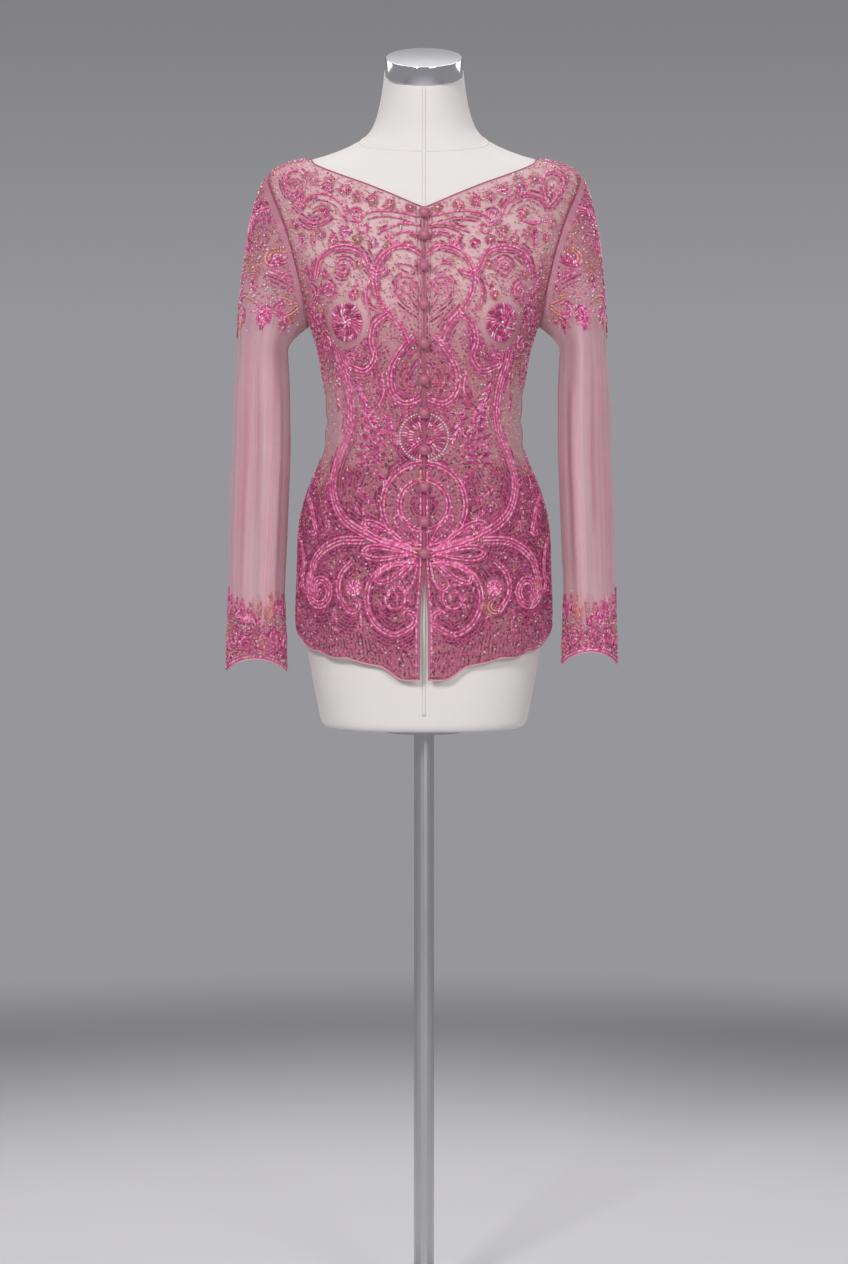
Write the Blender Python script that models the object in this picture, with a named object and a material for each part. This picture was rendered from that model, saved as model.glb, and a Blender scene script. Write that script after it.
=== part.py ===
"""Kebaya blouse on a limbless dress form, modelled as the pieces a maker cuts, sews and assembles.

Metres, +Z up, the front faces -Y. The origin is the middle of the stand's underside, on the pole's axis.
The form is a stack of horizontal sections. The cloth is a wall that follows the form at a fitted distance, cut
into two fronts, a back and two sleeves, each with its own edges. Buttons and loops stand on the finished fronts.
"""

import math
from typing import NamedTuple

import bmesh
import bpy
from mathutils import Matrix, Vector
from mathutils.bvhtree import BVHTree

# ---------------------------------------------------------------- driving dimensions

CLOTH = 0.0012  # thickness of every cloth wall
SEAM = 0.0002  # half the space left between two pieces at a seam
SLEEVE_SEAM = 0.0004  # space between an armhole's edge and its sleeve

NECK_TILT = math.radians(20.3)  # the neck's cut leans forward
TILT_START = 1.400  # the sections start to lean above this height
NECK_TOP = 1.4848
CAP_RADIUS = 0.0460
CAP_HEIGHT = 0.0225
CAP_EDGE = 0.0012
CAP_GAP = 0.0003

BUST_HEIGHT = 1.198
BUST_APART = 0.072  # from the middle line to each cup's highest point
BUST_RISE = 0.011
BUST_SPREAD_X = 0.044
BUST_SPREAD_Z = 0.040
BUST_BRIDGE = 0.085  # cloth spans between the cups, so its rise fades slowly towards the middle

FORM_BOTTOM = 0.700
FORM_SEGMENTS = 40
FORM_STEP = 0.042  # height between the form's rings where it is nearly straight
BOTTOM_ROUND = 0.012

POLE_RADIUS = 0.0122
FLANGE_RADIUS = 0.045
FLANGE_THICK = 0.005
BASE_RADIUS = 0.160
BASE_THICK = 0.008
HUB_RADIUS = 0.024
HUB_HEIGHT = 0.030
JOIN_GAP = 0.0003  # between pieces of the stand that sit on each other
ROUND_STEPS = 40

HEM_MIDDLE = 0.764  # front hem at the opening
HEM_SIDE = 0.842
HEM_BACK = 0.838
HEM_SCALLOP = 0.0028
HEM_SCALLOPS = 5  # on each front, and on each half of the back
HEM_FLUTE = 0.0022
HEM_FLUTES = 9

UNDERARM = 1.183
SHOULDER_TIP = 1.3615
NECK_POINT = 1.3780
NECK_FRONT = 1.3172
NECK_BACK = 1.346
ARMHOLE_FRONT = math.radians(21)  # how far the armhole cuts into the front, round the section
ARMHOLE_BACK = math.radians(23)

OPENING_HALF = 0.0005  # half the space between the two front edges where they are buttoned
OPENING_WIDE = 0.0055  # half the space where the edges hang apart, near the hem
OPENING_START = 0.908

FRONT_COLUMNS = 16
BACK_COLUMNS = 24
SIDE_ROWS = 14
ARMHOLE_ROWS = 10
SHOULDER_ROWS = 3

HEAD_RINGS = 9
LOWER_RINGS = 13
SLEEVE_FULL = 1.150  # below this height the sleeve hangs as a plain tube
CUFF_NOTCH = 0.017

BUTTON_RADIUS = 0.0066
BUTTON_DEPTH = 0.0054  # half the ball's depth, away from the cloth
BUTTON_STANDOFF = 0.0026
SHANK_RADIUS = 0.0016
SHANK_SIDE = 0.0026  # the shank is sewn this far from the opening
BUTTON_STEPS = 10
LOOP_RADIUS = 0.0006
LOOP_LIFT = 0.00035
LOOP_ROOT = 0.0034  # where the loop's ends are sewn, from the opening
LOOP_HALF = 0.0027
LOOP_REACH = 0.0050


class Level(NamedTuple):
    """A horizontal section of the form: how wide it is, and how far it reaches to the front and to the back."""

    height: float
    half_width: float
    front: float
    back: float
    power: float


FORM = (
    Level(0.700, 0.122, 0.084, 0.098, 2.20),
    Level(0.760, 0.134, 0.090, 0.107, 2.20),
    Level(0.810, 0.1415, 0.094, 0.112, 2.20),
    Level(0.870, 0.1455, 0.0965, 0.115, 2.20),
    Level(0.905, 0.1462, 0.0970, 0.114, 2.20),
    Level(0.941, 0.1433, 0.0965, 0.108, 2.20),
    Level(0.977, 0.1325, 0.0945, 0.098, 2.20),
    Level(1.013, 0.1150, 0.0905, 0.086, 2.20),
    Level(1.040, 0.1050, 0.0878, 0.0775, 2.20),
    Level(1.067, 0.1013, 0.0868, 0.0735, 2.20),
    Level(1.094, 0.1045, 0.0888, 0.0750, 2.22),
    Level(1.121, 0.1113, 0.0930, 0.0790, 2.26),
    Level(1.148, 0.1195, 0.0985, 0.0845, 2.30),
    Level(1.175, 0.1298, 0.1015, 0.0895, 2.33),
    Level(1.205, 0.1410, 0.1010, 0.0950, 2.35),
    Level(1.245, 0.1550, 0.0960, 0.0995, 2.35),
    Level(1.285, 0.1675, 0.0880, 0.1005, 2.30),
    Level(1.320, 0.1775, 0.0785, 0.0960, 2.25),
    Level(1.342, 0.1830, 0.0705, 0.0880, 2.20),
    Level(1.354, 0.1840, 0.0655, 0.0820, 2.17),
    Level(1.3625, 0.1795, 0.0620, 0.0775, 2.13),
    Level(1.3695, 0.1690, 0.0595, 0.0735, 2.10),
    Level(1.3740, 0.1530, 0.0580, 0.0700, 2.05),
    Level(1.3785, 0.1355, 0.0570, 0.0668, 2.02),
    Level(1.3840, 0.1165, 0.0562, 0.0630, 2.00),
    Level(1.3920, 0.0948, 0.0558, 0.0585, 2.00),
    Level(1.4015, 0.0765, 0.0560, 0.0540, 2.00),
    Level(1.4115, 0.0650, 0.0572, 0.0500, 2.00),
    Level(1.4240, 0.0585, 0.0595, 0.0455, 2.00),
    Level(1.4420, 0.0532, 0.0630, 0.0375, 2.00),
    Level(1.4660, 0.0492, 0.0662, 0.0270, 2.00),
    Level(1.4848, 0.0468, 0.0683, 0.0189, 2.00),
)


class Ease(NamedTuple):
    """How far the cloth's inner face stands off the form at a height, at the side, the front and the back."""

    height: float
    side: float
    front: float
    back: float


FIT = (
    Ease(0.760, 0.0150, 0.0110, 0.0130),
    Ease(0.845, 0.0072, 0.0068, 0.0065),
    Ease(0.905, 0.0036, 0.0038, 0.0036),
    Ease(0.941, 0.0045, 0.0034, 0.0044),
    Ease(0.977, 0.0070, 0.0038, 0.0070),
    Ease(1.013, 0.0098, 0.0048, 0.0095),
    Ease(1.067, 0.0118, 0.0062, 0.0105),
    Ease(1.094, 0.0110, 0.0056, 0.0095),
    Ease(1.121, 0.0085, 0.0038, 0.0075),
    Ease(1.148, 0.0045, 0.0026, 0.0055),
    Ease(1.175, 0.0020, 0.0018, 0.0036),
    Ease(1.205, 0.0014, 0.0014, 0.0020),
    Ease(1.300, 0.0014, 0.0014, 0.0016),
    Ease(1.345, 0.0018, 0.0018, 0.0022),
    Ease(1.400, 0.0018, 0.0018, 0.0022),
)


class RowEnds(NamedTuple):
    """Where a row of the cloth starts on the middle line, for a row that ends at this height at the side."""

    side: float
    front: float
    back: float


ROWS = (
    RowEnds(HEM_SIDE, HEM_MIDDLE, HEM_BACK),
    RowEnds(UNDERARM, 1.150, 1.172),
    RowEnds(SHOULDER_TIP, 1.297, 1.328),
    RowEnds(NECK_POINT, NECK_FRONT, NECK_BACK),
)


class HemPoint(NamedTuple):
    """How much of the rise from the middle to the side the hem has made, at a share of the way round."""

    way: float
    rise: float


FRONT_HEM = (
    HemPoint(0.00, 0.00),
    HemPoint(0.10, 0.04),
    HemPoint(0.18, 0.16),
    HemPoint(0.26, 0.25),
    HemPoint(0.36, 0.31),
    HemPoint(0.54, 0.38),
    HemPoint(0.66, 0.44),
    HemPoint(0.80, 0.57),
    HemPoint(1.00, 1.00),
)


class Section(NamedTuple):
    """A horizontal section of the hanging sleeve."""

    height: float
    out: float
    forward: float
    half_width: float
    half_depth: float


SLEEVE = (
    Section(1.150, 0.1912, 0.002, 0.0288, 0.0560),
    Section(1.100, 0.1918, 0.004, 0.0318, 0.0505),
    Section(1.040, 0.1922, 0.006, 0.0321, 0.0460),
    Section(0.980, 0.1947, 0.008, 0.0326, 0.0425),
    Section(0.920, 0.1968, 0.010, 0.0323, 0.0395),
    Section(0.860, 0.1988, 0.012, 0.0318, 0.0365),
    Section(0.800, 0.1990, 0.013, 0.0334, 0.0350),
    Section(0.770, 0.1990, 0.013, 0.0342, 0.0345),
)


class Fold(NamedTuple):
    """A soft ridge (depth above 0) or trough down a sleeve, at an angle from its outer side round by the front."""

    angle: float
    depth: float
    width: float
    twist: float


SLEEVE_FOLDS = (
    Fold(34, 0.0022, 13, -8),
    Fold(66, -0.0020, 15, -6),
    Fold(104, 0.0018, 12, 8),
    Fold(146, -0.0030, 16, 5),
    Fold(214, 0.0020, 15, 6),
    Fold(262, -0.0022, 18, -6),
    Fold(318, 0.0018, 16, 8),
)

class Hang(NamedTuple):
    """How one sleeve hangs: its side, how wide it shows, its lowest point, and how far its folds are turned."""

    side: int
    width: float
    out: float
    low: float
    turn: float


HANGS = {"sleeve_left": Hang(1, 0.96, -0.0006, 0.7770, 0.0), "sleeve_right": Hang(-1, 1.045, 0.0016, 0.7685, 11.0)}

BUTTON_HEIGHTS = (1.3090, 1.2826, 1.2461, 1.2027, 1.1607, 1.1190, 1.0783, 1.0328, 0.9896, 0.9500, 0.9132)

# ---------------------------------------------------------------- numbers read from the tables


def smooth(table, column, key, at):
    """Value of a table's column at a place in its key column, on a curve through the rows with no overshoot."""
    rows = sorted(table, key=lambda row: getattr(row, key))
    places = [getattr(row, key) for row in rows]
    values = [getattr(row, column) for row in rows]
    if at <= places[0]:
        return values[0]
    if at >= places[-1]:
        return values[-1]
    i = max(k for k in range(len(places) - 1) if places[k] <= at)
    slopes = [(values[k + 1] - values[k]) / (places[k + 1] - places[k]) for k in range(len(places) - 1)]

    def tangent(k):
        if k in (0, len(places) - 1):
            return slopes[min(k, len(slopes) - 1)]
        before, after = slopes[k - 1], slopes[k]
        return 0.0 if before * after <= 0 else 2 * before * after / (before + after)

    span = places[i + 1] - places[i]
    t = (at - places[i]) / span
    rise = values[i + 1] - values[i]
    start, end = tangent(i) * span, tangent(i + 1) * span
    return values[i] + t * start + t * t * (3 * rise - 2 * start - end) + t**3 * (start + end - 2 * rise)


def level_at(height):
    """The form's section at any height."""
    return Level(height, *(smooth(FORM, c, "height", height) for c in Level._fields[1:]))


def bust_rise(x, height, bridge):
    """How far a cup pushes the surface forward. Cloth bridges the space between the cups."""
    inside = bridge if abs(x) < BUST_APART else BUST_SPREAD_X
    across = (abs(x) - BUST_APART) / inside
    along = (height - BUST_HEIGHT) / BUST_SPREAD_Z
    return BUST_RISE * math.exp(-0.5 * (across**2 + along**2))


def form_point(angle, height, bridge=BUST_SPREAD_X):
    """A point of the form: angle 0 is the front, a quarter turn is the +X side, and half a turn is the back."""
    level = level_at(height)
    s, c = math.sin(angle), math.cos(angle)
    x = math.copysign(level.half_width * abs(s) ** (2 / level.power), s)
    if c >= 0:
        y = -level.front * abs(c) ** (2 / level.power) - bust_rise(x, height, bridge) * min(1, 3 * c)
    else:
        y = level.back * abs(c) ** (2 / level.power)
    return Vector((x, y, height))


def outward(x, y, height, bridge):
    """The form's outward direction at a point of its surface."""

    def field(px, py, pz):
        level = level_at(pz)
        depth = level.front + bust_rise(px, pz, bridge) if py < 0 else level.back
        return abs(px / level.half_width) ** level.power + abs(py / depth) ** level.power

    h = 2e-4
    slope = Vector(
        (
            field(x + h, y, height) - field(x - h, y, height),
            field(x, y + h, height) - field(x, y - h, height),
            field(x, y, height + h) - field(x, y, height - h),
        )
    )
    return slope.normalized()


def seam_angle(height, past=SEAM):
    """The angle, just short of the side, whose point lies this far in front of the side seam."""
    level = level_at(height)
    return math.acos((past / level.front) ** (level.power / 2))


def hem_flute(angle, height):
    """Soft standing waves of the free hem."""
    free = max(0.0, min(1.0, (0.900 - height) / 0.110))
    return HEM_FLUTE * free * free * math.cos(HEM_FLUTES * angle)


def cloth_points(angle, height):
    """The cloth's outer and inner points at a place on the form."""
    base = form_point(angle, height, BUST_BRIDGE)
    out = outward(base.x, base.y, height, BUST_BRIDGE)
    side = math.sin(angle) ** 2
    facing = "front" if math.cos(angle) >= 0 else "back"
    ease = side * smooth(FIT, "side", "height", height) + (1 - side) * smooth(FIT, facing, "height", height)
    ease += hem_flute(angle, height)
    return base + out * (ease + CLOTH), base + out * ease


# ---------------------------------------------------------------- meshes


def material(name, colour, roughness, metallic=0.0, alpha=1.0):
    """A plain Principled finish."""
    made = bpy.data.materials.new(name)
    made.use_nodes = True
    shader = made.node_tree.nodes["Principled BSDF"]
    shader.inputs["Base Color"].default_value = (*colour, 1)
    shader.inputs["Roughness"].default_value = roughness
    shader.inputs["Metallic"].default_value = metallic
    shader.inputs["Alpha"].default_value = alpha
    return made


def add_object(name, mesh, finish, sharp=40):
    """Puts a mesh in the scene under a node's name, shaded smooth but for its sharp edges."""
    made = bpy.data.objects.new(name, mesh)
    bpy.context.scene.collection.objects.link(made)
    mesh.materials.append(finish)
    mesh.shade_smooth()
    mesh.set_sharp_from_angle(angle=math.radians(sharp))
    return made


def mesh_of(name, grid, closed_rows=False, capped=False):
    """A mesh through rows of points. Closed rows are rings, and a capped stack of rings is a solid."""
    bm = bmesh.new()
    rows = [[bm.verts.new(p) for p in row] for row in grid]
    for low, high in zip(rows, rows[1:]):
        count = len(low) if closed_rows else len(low) - 1
        for i in range(count):
            j = (i + 1) % len(low)
            bm.faces.new((low[i], low[j], high[j], high[i]))
    if capped:
        bm.faces.new(reversed(rows[0]))
        bm.faces.new(rows[-1])
    mesh = bpy.data.meshes.new(name)
    bm.to_mesh(mesh)
    bm.free()
    return mesh


def wall_mesh(name, outer, inner, closed_rows=False):
    """A cloth wall between an outer and an inner grid of points, joined round every free edge."""
    bm = bmesh.new()
    out = [[bm.verts.new(p) for p in row] for row in outer]
    into = [[bm.verts.new(p) for p in row] for row in inner]
    width = len(outer[0])
    steps = width if closed_rows else width - 1
    for r in range(len(outer) - 1):
        for i in range(steps):
            j = (i + 1) % width
            bm.faces.new((out[r][i], out[r][j], out[r + 1][j], out[r + 1][i]))
            bm.faces.new((into[r][i], into[r + 1][i], into[r + 1][j], into[r][j]))
        if not closed_rows:
            bm.faces.new((out[r][0], out[r + 1][0], into[r + 1][0], into[r][0]))
            bm.faces.new((out[r][-1], into[r][-1], into[r + 1][-1], out[r + 1][-1]))
    for i in range(steps):
        j = (i + 1) % width
        bm.faces.new((out[0][i], into[0][i], into[0][j], out[0][j]))
        bm.faces.new((out[-1][i], out[-1][j], into[-1][j], into[-1][i]))
    bmesh.ops.recalc_face_normals(bm, faces=bm.faces)
    mesh = bpy.data.meshes.new(name)
    bm.to_mesh(mesh)
    bm.free()
    return mesh


def turned_mesh(name, profile, steps):
    """A solid turned about Z from (radius, height) points that run from the top of the axis to its foot."""
    bm = bmesh.new()
    verts = [bm.verts.new((radius, 0, height)) for radius, height in profile]
    edges = [bm.edges.new(pair) for pair in zip(verts, verts[1:])]
    bmesh.ops.spin(
        bm,
        geom=verts + edges,
        cent=(0, 0, 0),
        axis=(0, 0, 1),
        angle=2 * math.pi,
        steps=steps,
        use_merge=True,
    )
    bmesh.ops.remove_doubles(bm, verts=bm.verts, dist=1e-5)
    bmesh.ops.recalc_face_normals(bm, faces=bm.faces)
    mesh = bpy.data.meshes.new(name)
    bm.to_mesh(mesh)
    bm.free()
    return mesh


# ---------------------------------------------------------------- dress form and stand


def neck_lean(height):
    """How far a section leans forward, as a slope."""
    share = max(0.0, (height - TILT_START) / (NECK_TOP - TILT_START))
    return math.tan(NECK_TILT) * share**1.3


def build_form(linen):
    """The torso and neck, one smooth closed solid."""
    plain = [FORM_BOTTOM + BOTTOM_ROUND + FORM_STEP * i for i in range(15)]
    heights = [FORM_BOTTOM, *plain, *(level.height for level in FORM if level.height > plain[-1] + 0.01)]
    rings = []
    for height in heights:
        inset = BOTTOM_ROUND * 0.7 if height == FORM_BOTTOM else 0
        ring = []
        for i in range(FORM_SEGMENTS):
            point = form_point(2 * math.pi * i / FORM_SEGMENTS, height)
            flat = Vector((point.x, point.y, 0))
            flat -= flat.normalized() * inset
            ring.append(Vector((flat.x, flat.y, height + flat.y * neck_lean(height))))
        rings.append(ring)
    return add_object("form_torso", mesh_of("form_torso", rings, closed_rows=True, capped=True), linen)


def build_cap(chrome):
    """The plated cap on the neck's leaning cut."""
    profile = (
        (0, CAP_HEIGHT),
        (CAP_RADIUS - CAP_EDGE, CAP_HEIGHT),
        (CAP_RADIUS, CAP_HEIGHT - CAP_EDGE),
        (CAP_RADIUS, 0),
        (0, 0),
    )
    cap = add_object("neck_cap", turned_mesh("neck_cap", profile, ROUND_STEPS), chrome)
    top = level_at(NECK_TOP)
    middle = (top.back - top.front) / 2
    seat = Vector((0, middle, NECK_TOP + middle * math.tan(NECK_TILT)))
    up = Vector((0, -math.sin(NECK_TILT), math.cos(NECK_TILT)))
    cap.rotation_euler = (NECK_TILT, 0, 0)
    cap.location = seat + up * CAP_GAP
    return cap


def build_stand(steel):
    """The round base with its hub, and the pole with the flange that carries the form."""
    foot = (
        (0, HUB_HEIGHT),
        (HUB_RADIUS, HUB_HEIGHT),
        (HUB_RADIUS, BASE_THICK),
        (BASE_RADIUS - BASE_THICK / 2, BASE_THICK),
        (BASE_RADIUS, BASE_THICK / 2),
        (BASE_RADIUS, 0),
        (0, 0),
    )
    base = add_object("stand_base", turned_mesh("stand_base", foot, ROUND_STEPS), steel)
    top = FORM_BOTTOM - JOIN_GAP
    tube = (
        (0, top),
        (FLANGE_RADIUS, top),
        (FLANGE_RADIUS, top - FLANGE_THICK),
        (POLE_RADIUS, top - FLANGE_THICK),
        (POLE_RADIUS, HUB_HEIGHT + JOIN_GAP),
        (0, HUB_HEIGHT + JOIN_GAP),
    )
    pole = add_object("stand_pole", turned_mesh("stand_pole", tube, ROUND_STEPS // 2), steel)
    return base, pole


# ---------------------------------------------------------------- body panels


def armhole_place(step, reach):
    """Angle and height on the armhole, from the underarm (step 0) to the shoulder tip (the last step)."""
    turn = math.pi * step / ARMHOLE_ROWS
    middle = (SHOULDER_TIP + UNDERARM) / 2
    height = middle - (SHOULDER_TIP - UNDERARM) / 2 * math.cos(turn)
    power = level_at(height).power
    return seam_angle(height) - reach * math.sin(turn) ** (power / 2), height


def side_edge(reach):
    """Angle and height at the side end of every row: side seam, armhole, then shoulder seam."""
    places = []
    for i in range(SIDE_ROWS):
        height = HEM_SIDE + (UNDERARM - HEM_SIDE) * i / SIDE_ROWS
        places.append((seam_angle(height), height))
    places += [armhole_place(i, reach) for i in range(ARMHOLE_ROWS + 1)]
    for i in range(1, SHOULDER_ROWS + 1):
        height = SHOULDER_TIP + (NECK_POINT - SHOULDER_TIP) * i / SHOULDER_ROWS
        places.append((seam_angle(height), height))
    return places


def hem_shift(way, row, facing):
    """How far the lowest rows leave a straight line: the hem's own curve and its scallops, fading upwards."""
    fade = max(0.0, 1 - row / 6) ** 2
    curve = 0.0
    if facing == "front":
        curve = (smooth(FRONT_HEM, "rise", "way", way) - way) * (HEM_SIDE - HEM_MIDDLE)
    lobe = abs(math.sin(math.pi * HEM_SCALLOPS * way)) - 0.6
    return fade * (curve - HEM_SCALLOP * lobe)


def row_points(row, place, columns, facing):
    """Outer and inner points of one row, from the middle line to the side."""
    side_angle, side_height = place
    start = smooth(ROWS, facing, "side", side_height)
    bow = 1 + 1.5 * max(0.0, min(1.0, (side_height - UNDERARM) / (NECK_POINT - UNDERARM)))
    outer, inner = [], []
    for i in range(columns + 1):
        way = i / columns
        height = start + (side_height - start) * (1 - (1 - way) ** bow) + hem_shift(way, row, facing)
        angle = side_angle * way
        if facing == "back":
            angle = math.pi - angle
        out, into = cloth_points(angle, height)
        outer.append(out)
        inner.append(into)
    return outer, inner


def opening_edge(height):
    """How far a front's edge lies from the middle line."""
    apart = max(0.0, min(1.0, (OPENING_START - height) / 0.085))
    return OPENING_HALF + (OPENING_WIDE - OPENING_HALF) * apart * apart * (3 - 2 * apart)


def trim_to_opening(row):
    """Moves the first points of a row sideways so that the front's edge follows the opening."""
    moved = list(row)
    for i in range(2):
        share = 1 - i / 2
        moved[i] = row[i] + Vector((opening_edge(row[i].z) * share, 0, 0))
    return moved


def mirrored(grid):
    """The grid on the other side of the middle line."""
    return [[Vector((-p.x, p.y, p.z)) for p in row] for row in grid]


def build_fronts(net):
    """Both fronts, from the opening to the side seam, armhole and shoulder seam."""
    outer, inner = [], []
    for row, place in enumerate(side_edge(ARMHOLE_FRONT)):
        out, into = row_points(row, place, FRONT_COLUMNS, "front")
        outer.append(trim_to_opening(out))
        inner.append(trim_to_opening(into))
    left = add_object("front_left", wall_mesh("front_left", outer, inner), net)
    right = add_object("front_right", wall_mesh("front_right", mirrored(outer), mirrored(inner)), net)
    return left, right


def build_back(net):
    """The back, cut in one piece from side seam to side seam."""
    outer, inner = [], []
    for row, place in enumerate(side_edge(ARMHOLE_BACK)):
        out, into = row_points(row, place, BACK_COLUMNS // 2, "back")
        outer.append(mirrored([out[:0:-1]])[0] + out)
        inner.append(mirrored([into[:0:-1]])[0] + into)
    return add_object("back", wall_mesh("back", outer, inner), net)


# ---------------------------------------------------------------- sleeves


def fold_depth(turn, share, hang):
    """How far the folds push a sleeve's surface out, at an angle round it and a share of the way down."""
    fade = math.sin(math.pi * min(1.0, 0.12 + share) ** 0.8) ** 0.5 if share < 0.88 else 0.0
    push = 0.0
    for fold in SLEEVE_FOLDS:
        middle = fold.angle + hang.turn + fold.twist * (share - 0.5)
        away = (math.degrees(turn) - middle + 180) % 360 - 180
        push += fold.depth * math.exp(-0.5 * (away / fold.width) ** 2)
    return push * max(0.0, fade)


def sleeve_section(turn, height, hang):
    """A point of the plain hanging sleeve, at an angle from its outer side round by the front."""
    out, forward, half_width, half_depth = (smooth(SLEEVE, c, "height", height) for c in Section._fields[1:])
    across = out + hang.out + half_width * hang.width * math.cos(turn)
    return Vector((across, -forward - half_depth / hang.width * math.sin(turn), height))


def armhole_ring():
    """The armhole's outer points, from the shoulder tip by the front and the underarm to the back."""
    front = [armhole_place(i, ARMHOLE_FRONT) for i in range(ARMHOLE_ROWS, -1, -1)]
    back = [armhole_place(i, ARMHOLE_BACK) for i in range(1, ARMHOLE_ROWS)]
    places = front + [(math.pi - angle, height) for angle, height in back]
    ring = [cloth_points(angle, height)[0] for angle, height in places]
    for seam in (0, ARMHOLE_ROWS):
        ring[seam].y = 0.0
    return ring


def sleeve_start(turn):
    """The way the sleeve leaves the armhole: on along the shoulder at the top, out and down at the underarm."""
    top = (1 + math.cos(turn)) / 2
    fall = -0.42 * top - 0.56 * (1 - top)
    return Vector((0.92 * top + 0.84 * (1 - top), -0.30 * math.sin(turn), fall)).normalized()


def sleeve_rings(hang):
    """Outer rings of a sleeve, from the armhole to the scalloped cuff."""
    edge = armhole_ring()
    count = len(edge)
    turns = [2 * math.pi * k / count for k in range(count)]
    rings = []
    for r in range(HEAD_RINGS):
        t = r / HEAD_RINGS
        ring = []
        for turn, start in zip(turns, edge):
            end = sleeve_section(turn, SLEEVE_FULL, hang)
            leave = sleeve_start(turn)
            first = start + leave * SLEEVE_SEAM
            long = (end - first).length
            top = (1 + math.cos(turn)) / 2
            pull = (0.060 * top + 0.034 * (1 - top)) * leave
            arrive = Vector((0, 0, -1)) * long * (1.0 + 0.1 * top)
            ring.append(
                first * (2 * t**3 - 3 * t**2 + 1)
                + pull * (t**3 - 2 * t**2 + t)
                + end * (3 * t**2 - 2 * t**3)
                + arrive * (t**3 - t**2)
            )
        rings.append(ring)
    for r in range(LOWER_RINGS + 1):
        share = r / LOWER_RINGS
        ring = []
        for turn in turns:
            notch = CUFF_NOTCH * abs(math.sin(turn)) ** 1.4
            height = SLEEVE_FULL + (hang.low + notch - SLEEVE_FULL) * share
            point = sleeve_section(turn, height, hang)
            around = Vector((math.cos(turn), -math.sin(turn), 0))
            ring.append(point + around * fold_depth(turn, share, hang))
        rings.append(ring)
    return rings


def inner_rings(rings):
    """Every ring moved inwards by the cloth's thickness, square to the surface."""
    count = len(rings[0])
    moved = []
    for r, ring in enumerate(rings):
        above, below = rings[max(r - 1, 0)], rings[min(r + 1, len(rings) - 1)]
        row = []
        for k, point in enumerate(ring):
            around = ring[(k + 1) % count] - ring[k - 1]
            down = below[k] - above[k]
            normal = around.cross(down).normalized()
            middle = sum(ring, Vector()) / count
            if normal.dot(point - middle) < 0:
                normal.negate()
            row.append(point - normal * CLOTH)
        moved.append(row)
    return moved


def build_sleeves(net):
    """Both sleeves, each a tube of its own from armhole to cuff."""
    for name, hang in HANGS.items():
        outer = sleeve_rings(hang)
        inner = inner_rings(outer)
        if hang.side < 0:
            outer, inner = mirrored(outer), mirrored(inner)
        add_object(name, wall_mesh(name, outer, inner, closed_rows=True), net)


# ---------------------------------------------------------------- buttons and loops


def seat_on(panel, height):
    """A frame on the front, on the middle line at a height: Z is straight out of the cloth and X is across it."""
    depsgraph = bpy.context.evaluated_depsgraph_get()
    tree = BVHTree.FromObject(panel, depsgraph)
    foot, normal, _, _ = tree.ray_cast(Vector((SHANK_SIDE, -1, height)), Vector((0, 1, 0)))
    out = Vector((0, normal.y, normal.z)).normalized()
    across = Vector((1, 0, 0))
    proud = 0.0
    for x in (SHANK_SIDE - SHANK_RADIUS, SHANK_SIDE + SHANK_RADIUS, LOOP_REACH):
        for up in (-LOOP_HALF, LOOP_HALF):
            hit = tree.ray_cast(Vector((x, -1, height + up)), Vector((0, 1, 0)))[0]
            proud = max(proud, (hit - foot).dot(out))
    frame = Matrix((across, out.cross(across), out)).transposed().to_4x4()
    return Matrix.Translation(Vector((0, foot.y, foot.z)) + out * proud) @ frame


def build_button(name, seat, satin):
    """A covered ball over the opening, on a shank that is sewn beside it."""
    middle = BUTTON_STANDOFF + BUTTON_DEPTH
    profile = []
    for i in range(5):
        turn = math.radians(148) * i / 4
        profile.append((BUTTON_RADIUS * math.sin(turn), middle + BUTTON_DEPTH * math.cos(turn)))
    shank_top = BUTTON_STANDOFF
    profile += [(SHANK_RADIUS, shank_top), (SHANK_RADIUS, JOIN_GAP), (0, JOIN_GAP)]
    mesh = turned_mesh(name, profile, BUTTON_STEPS)
    for vert in mesh.vertices:
        if vert.co.z < shank_top + 1e-5:
            vert.co.x += SHANK_SIDE
    button = add_object(name, mesh, satin, sharp=60)
    button.matrix_world = seat
    return button


def build_loop(name, seat, satin):
    """A corded loop from the other front's edge round the button's shank."""
    lift = LOOP_RADIUS + LOOP_LIFT
    route = [(-LOOP_ROOT, LOOP_HALF), (0.0, LOOP_HALF)]
    for i in range(6):
        turn = math.pi * i / 5
        reach = SHANK_SIDE + (LOOP_REACH - SHANK_SIDE) * math.sin(turn)
        route.append((reach, LOOP_HALF * math.cos(turn)))
    route += [(0.0, -LOOP_HALF), (-LOOP_ROOT, -LOOP_HALF)]
    curve = bpy.data.curves.new(name, "CURVE")
    curve.dimensions = "3D"
    curve.bevel_depth = LOOP_RADIUS
    curve.bevel_resolution = 1
    curve.use_fill_caps = True
    spline = curve.splines.new("POLY")
    spline.points.add(len(route) - 1)
    for spot, (across, along) in zip(spline.points, route):
        spot.co = (across, along, lift, 1)
    made = bpy.data.objects.new(name, curve)
    bpy.context.scene.collection.objects.link(made)
    made.matrix_world = seat
    curve.materials.append(satin)
    return made


# ---------------------------------------------------------------- the whole object


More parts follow.
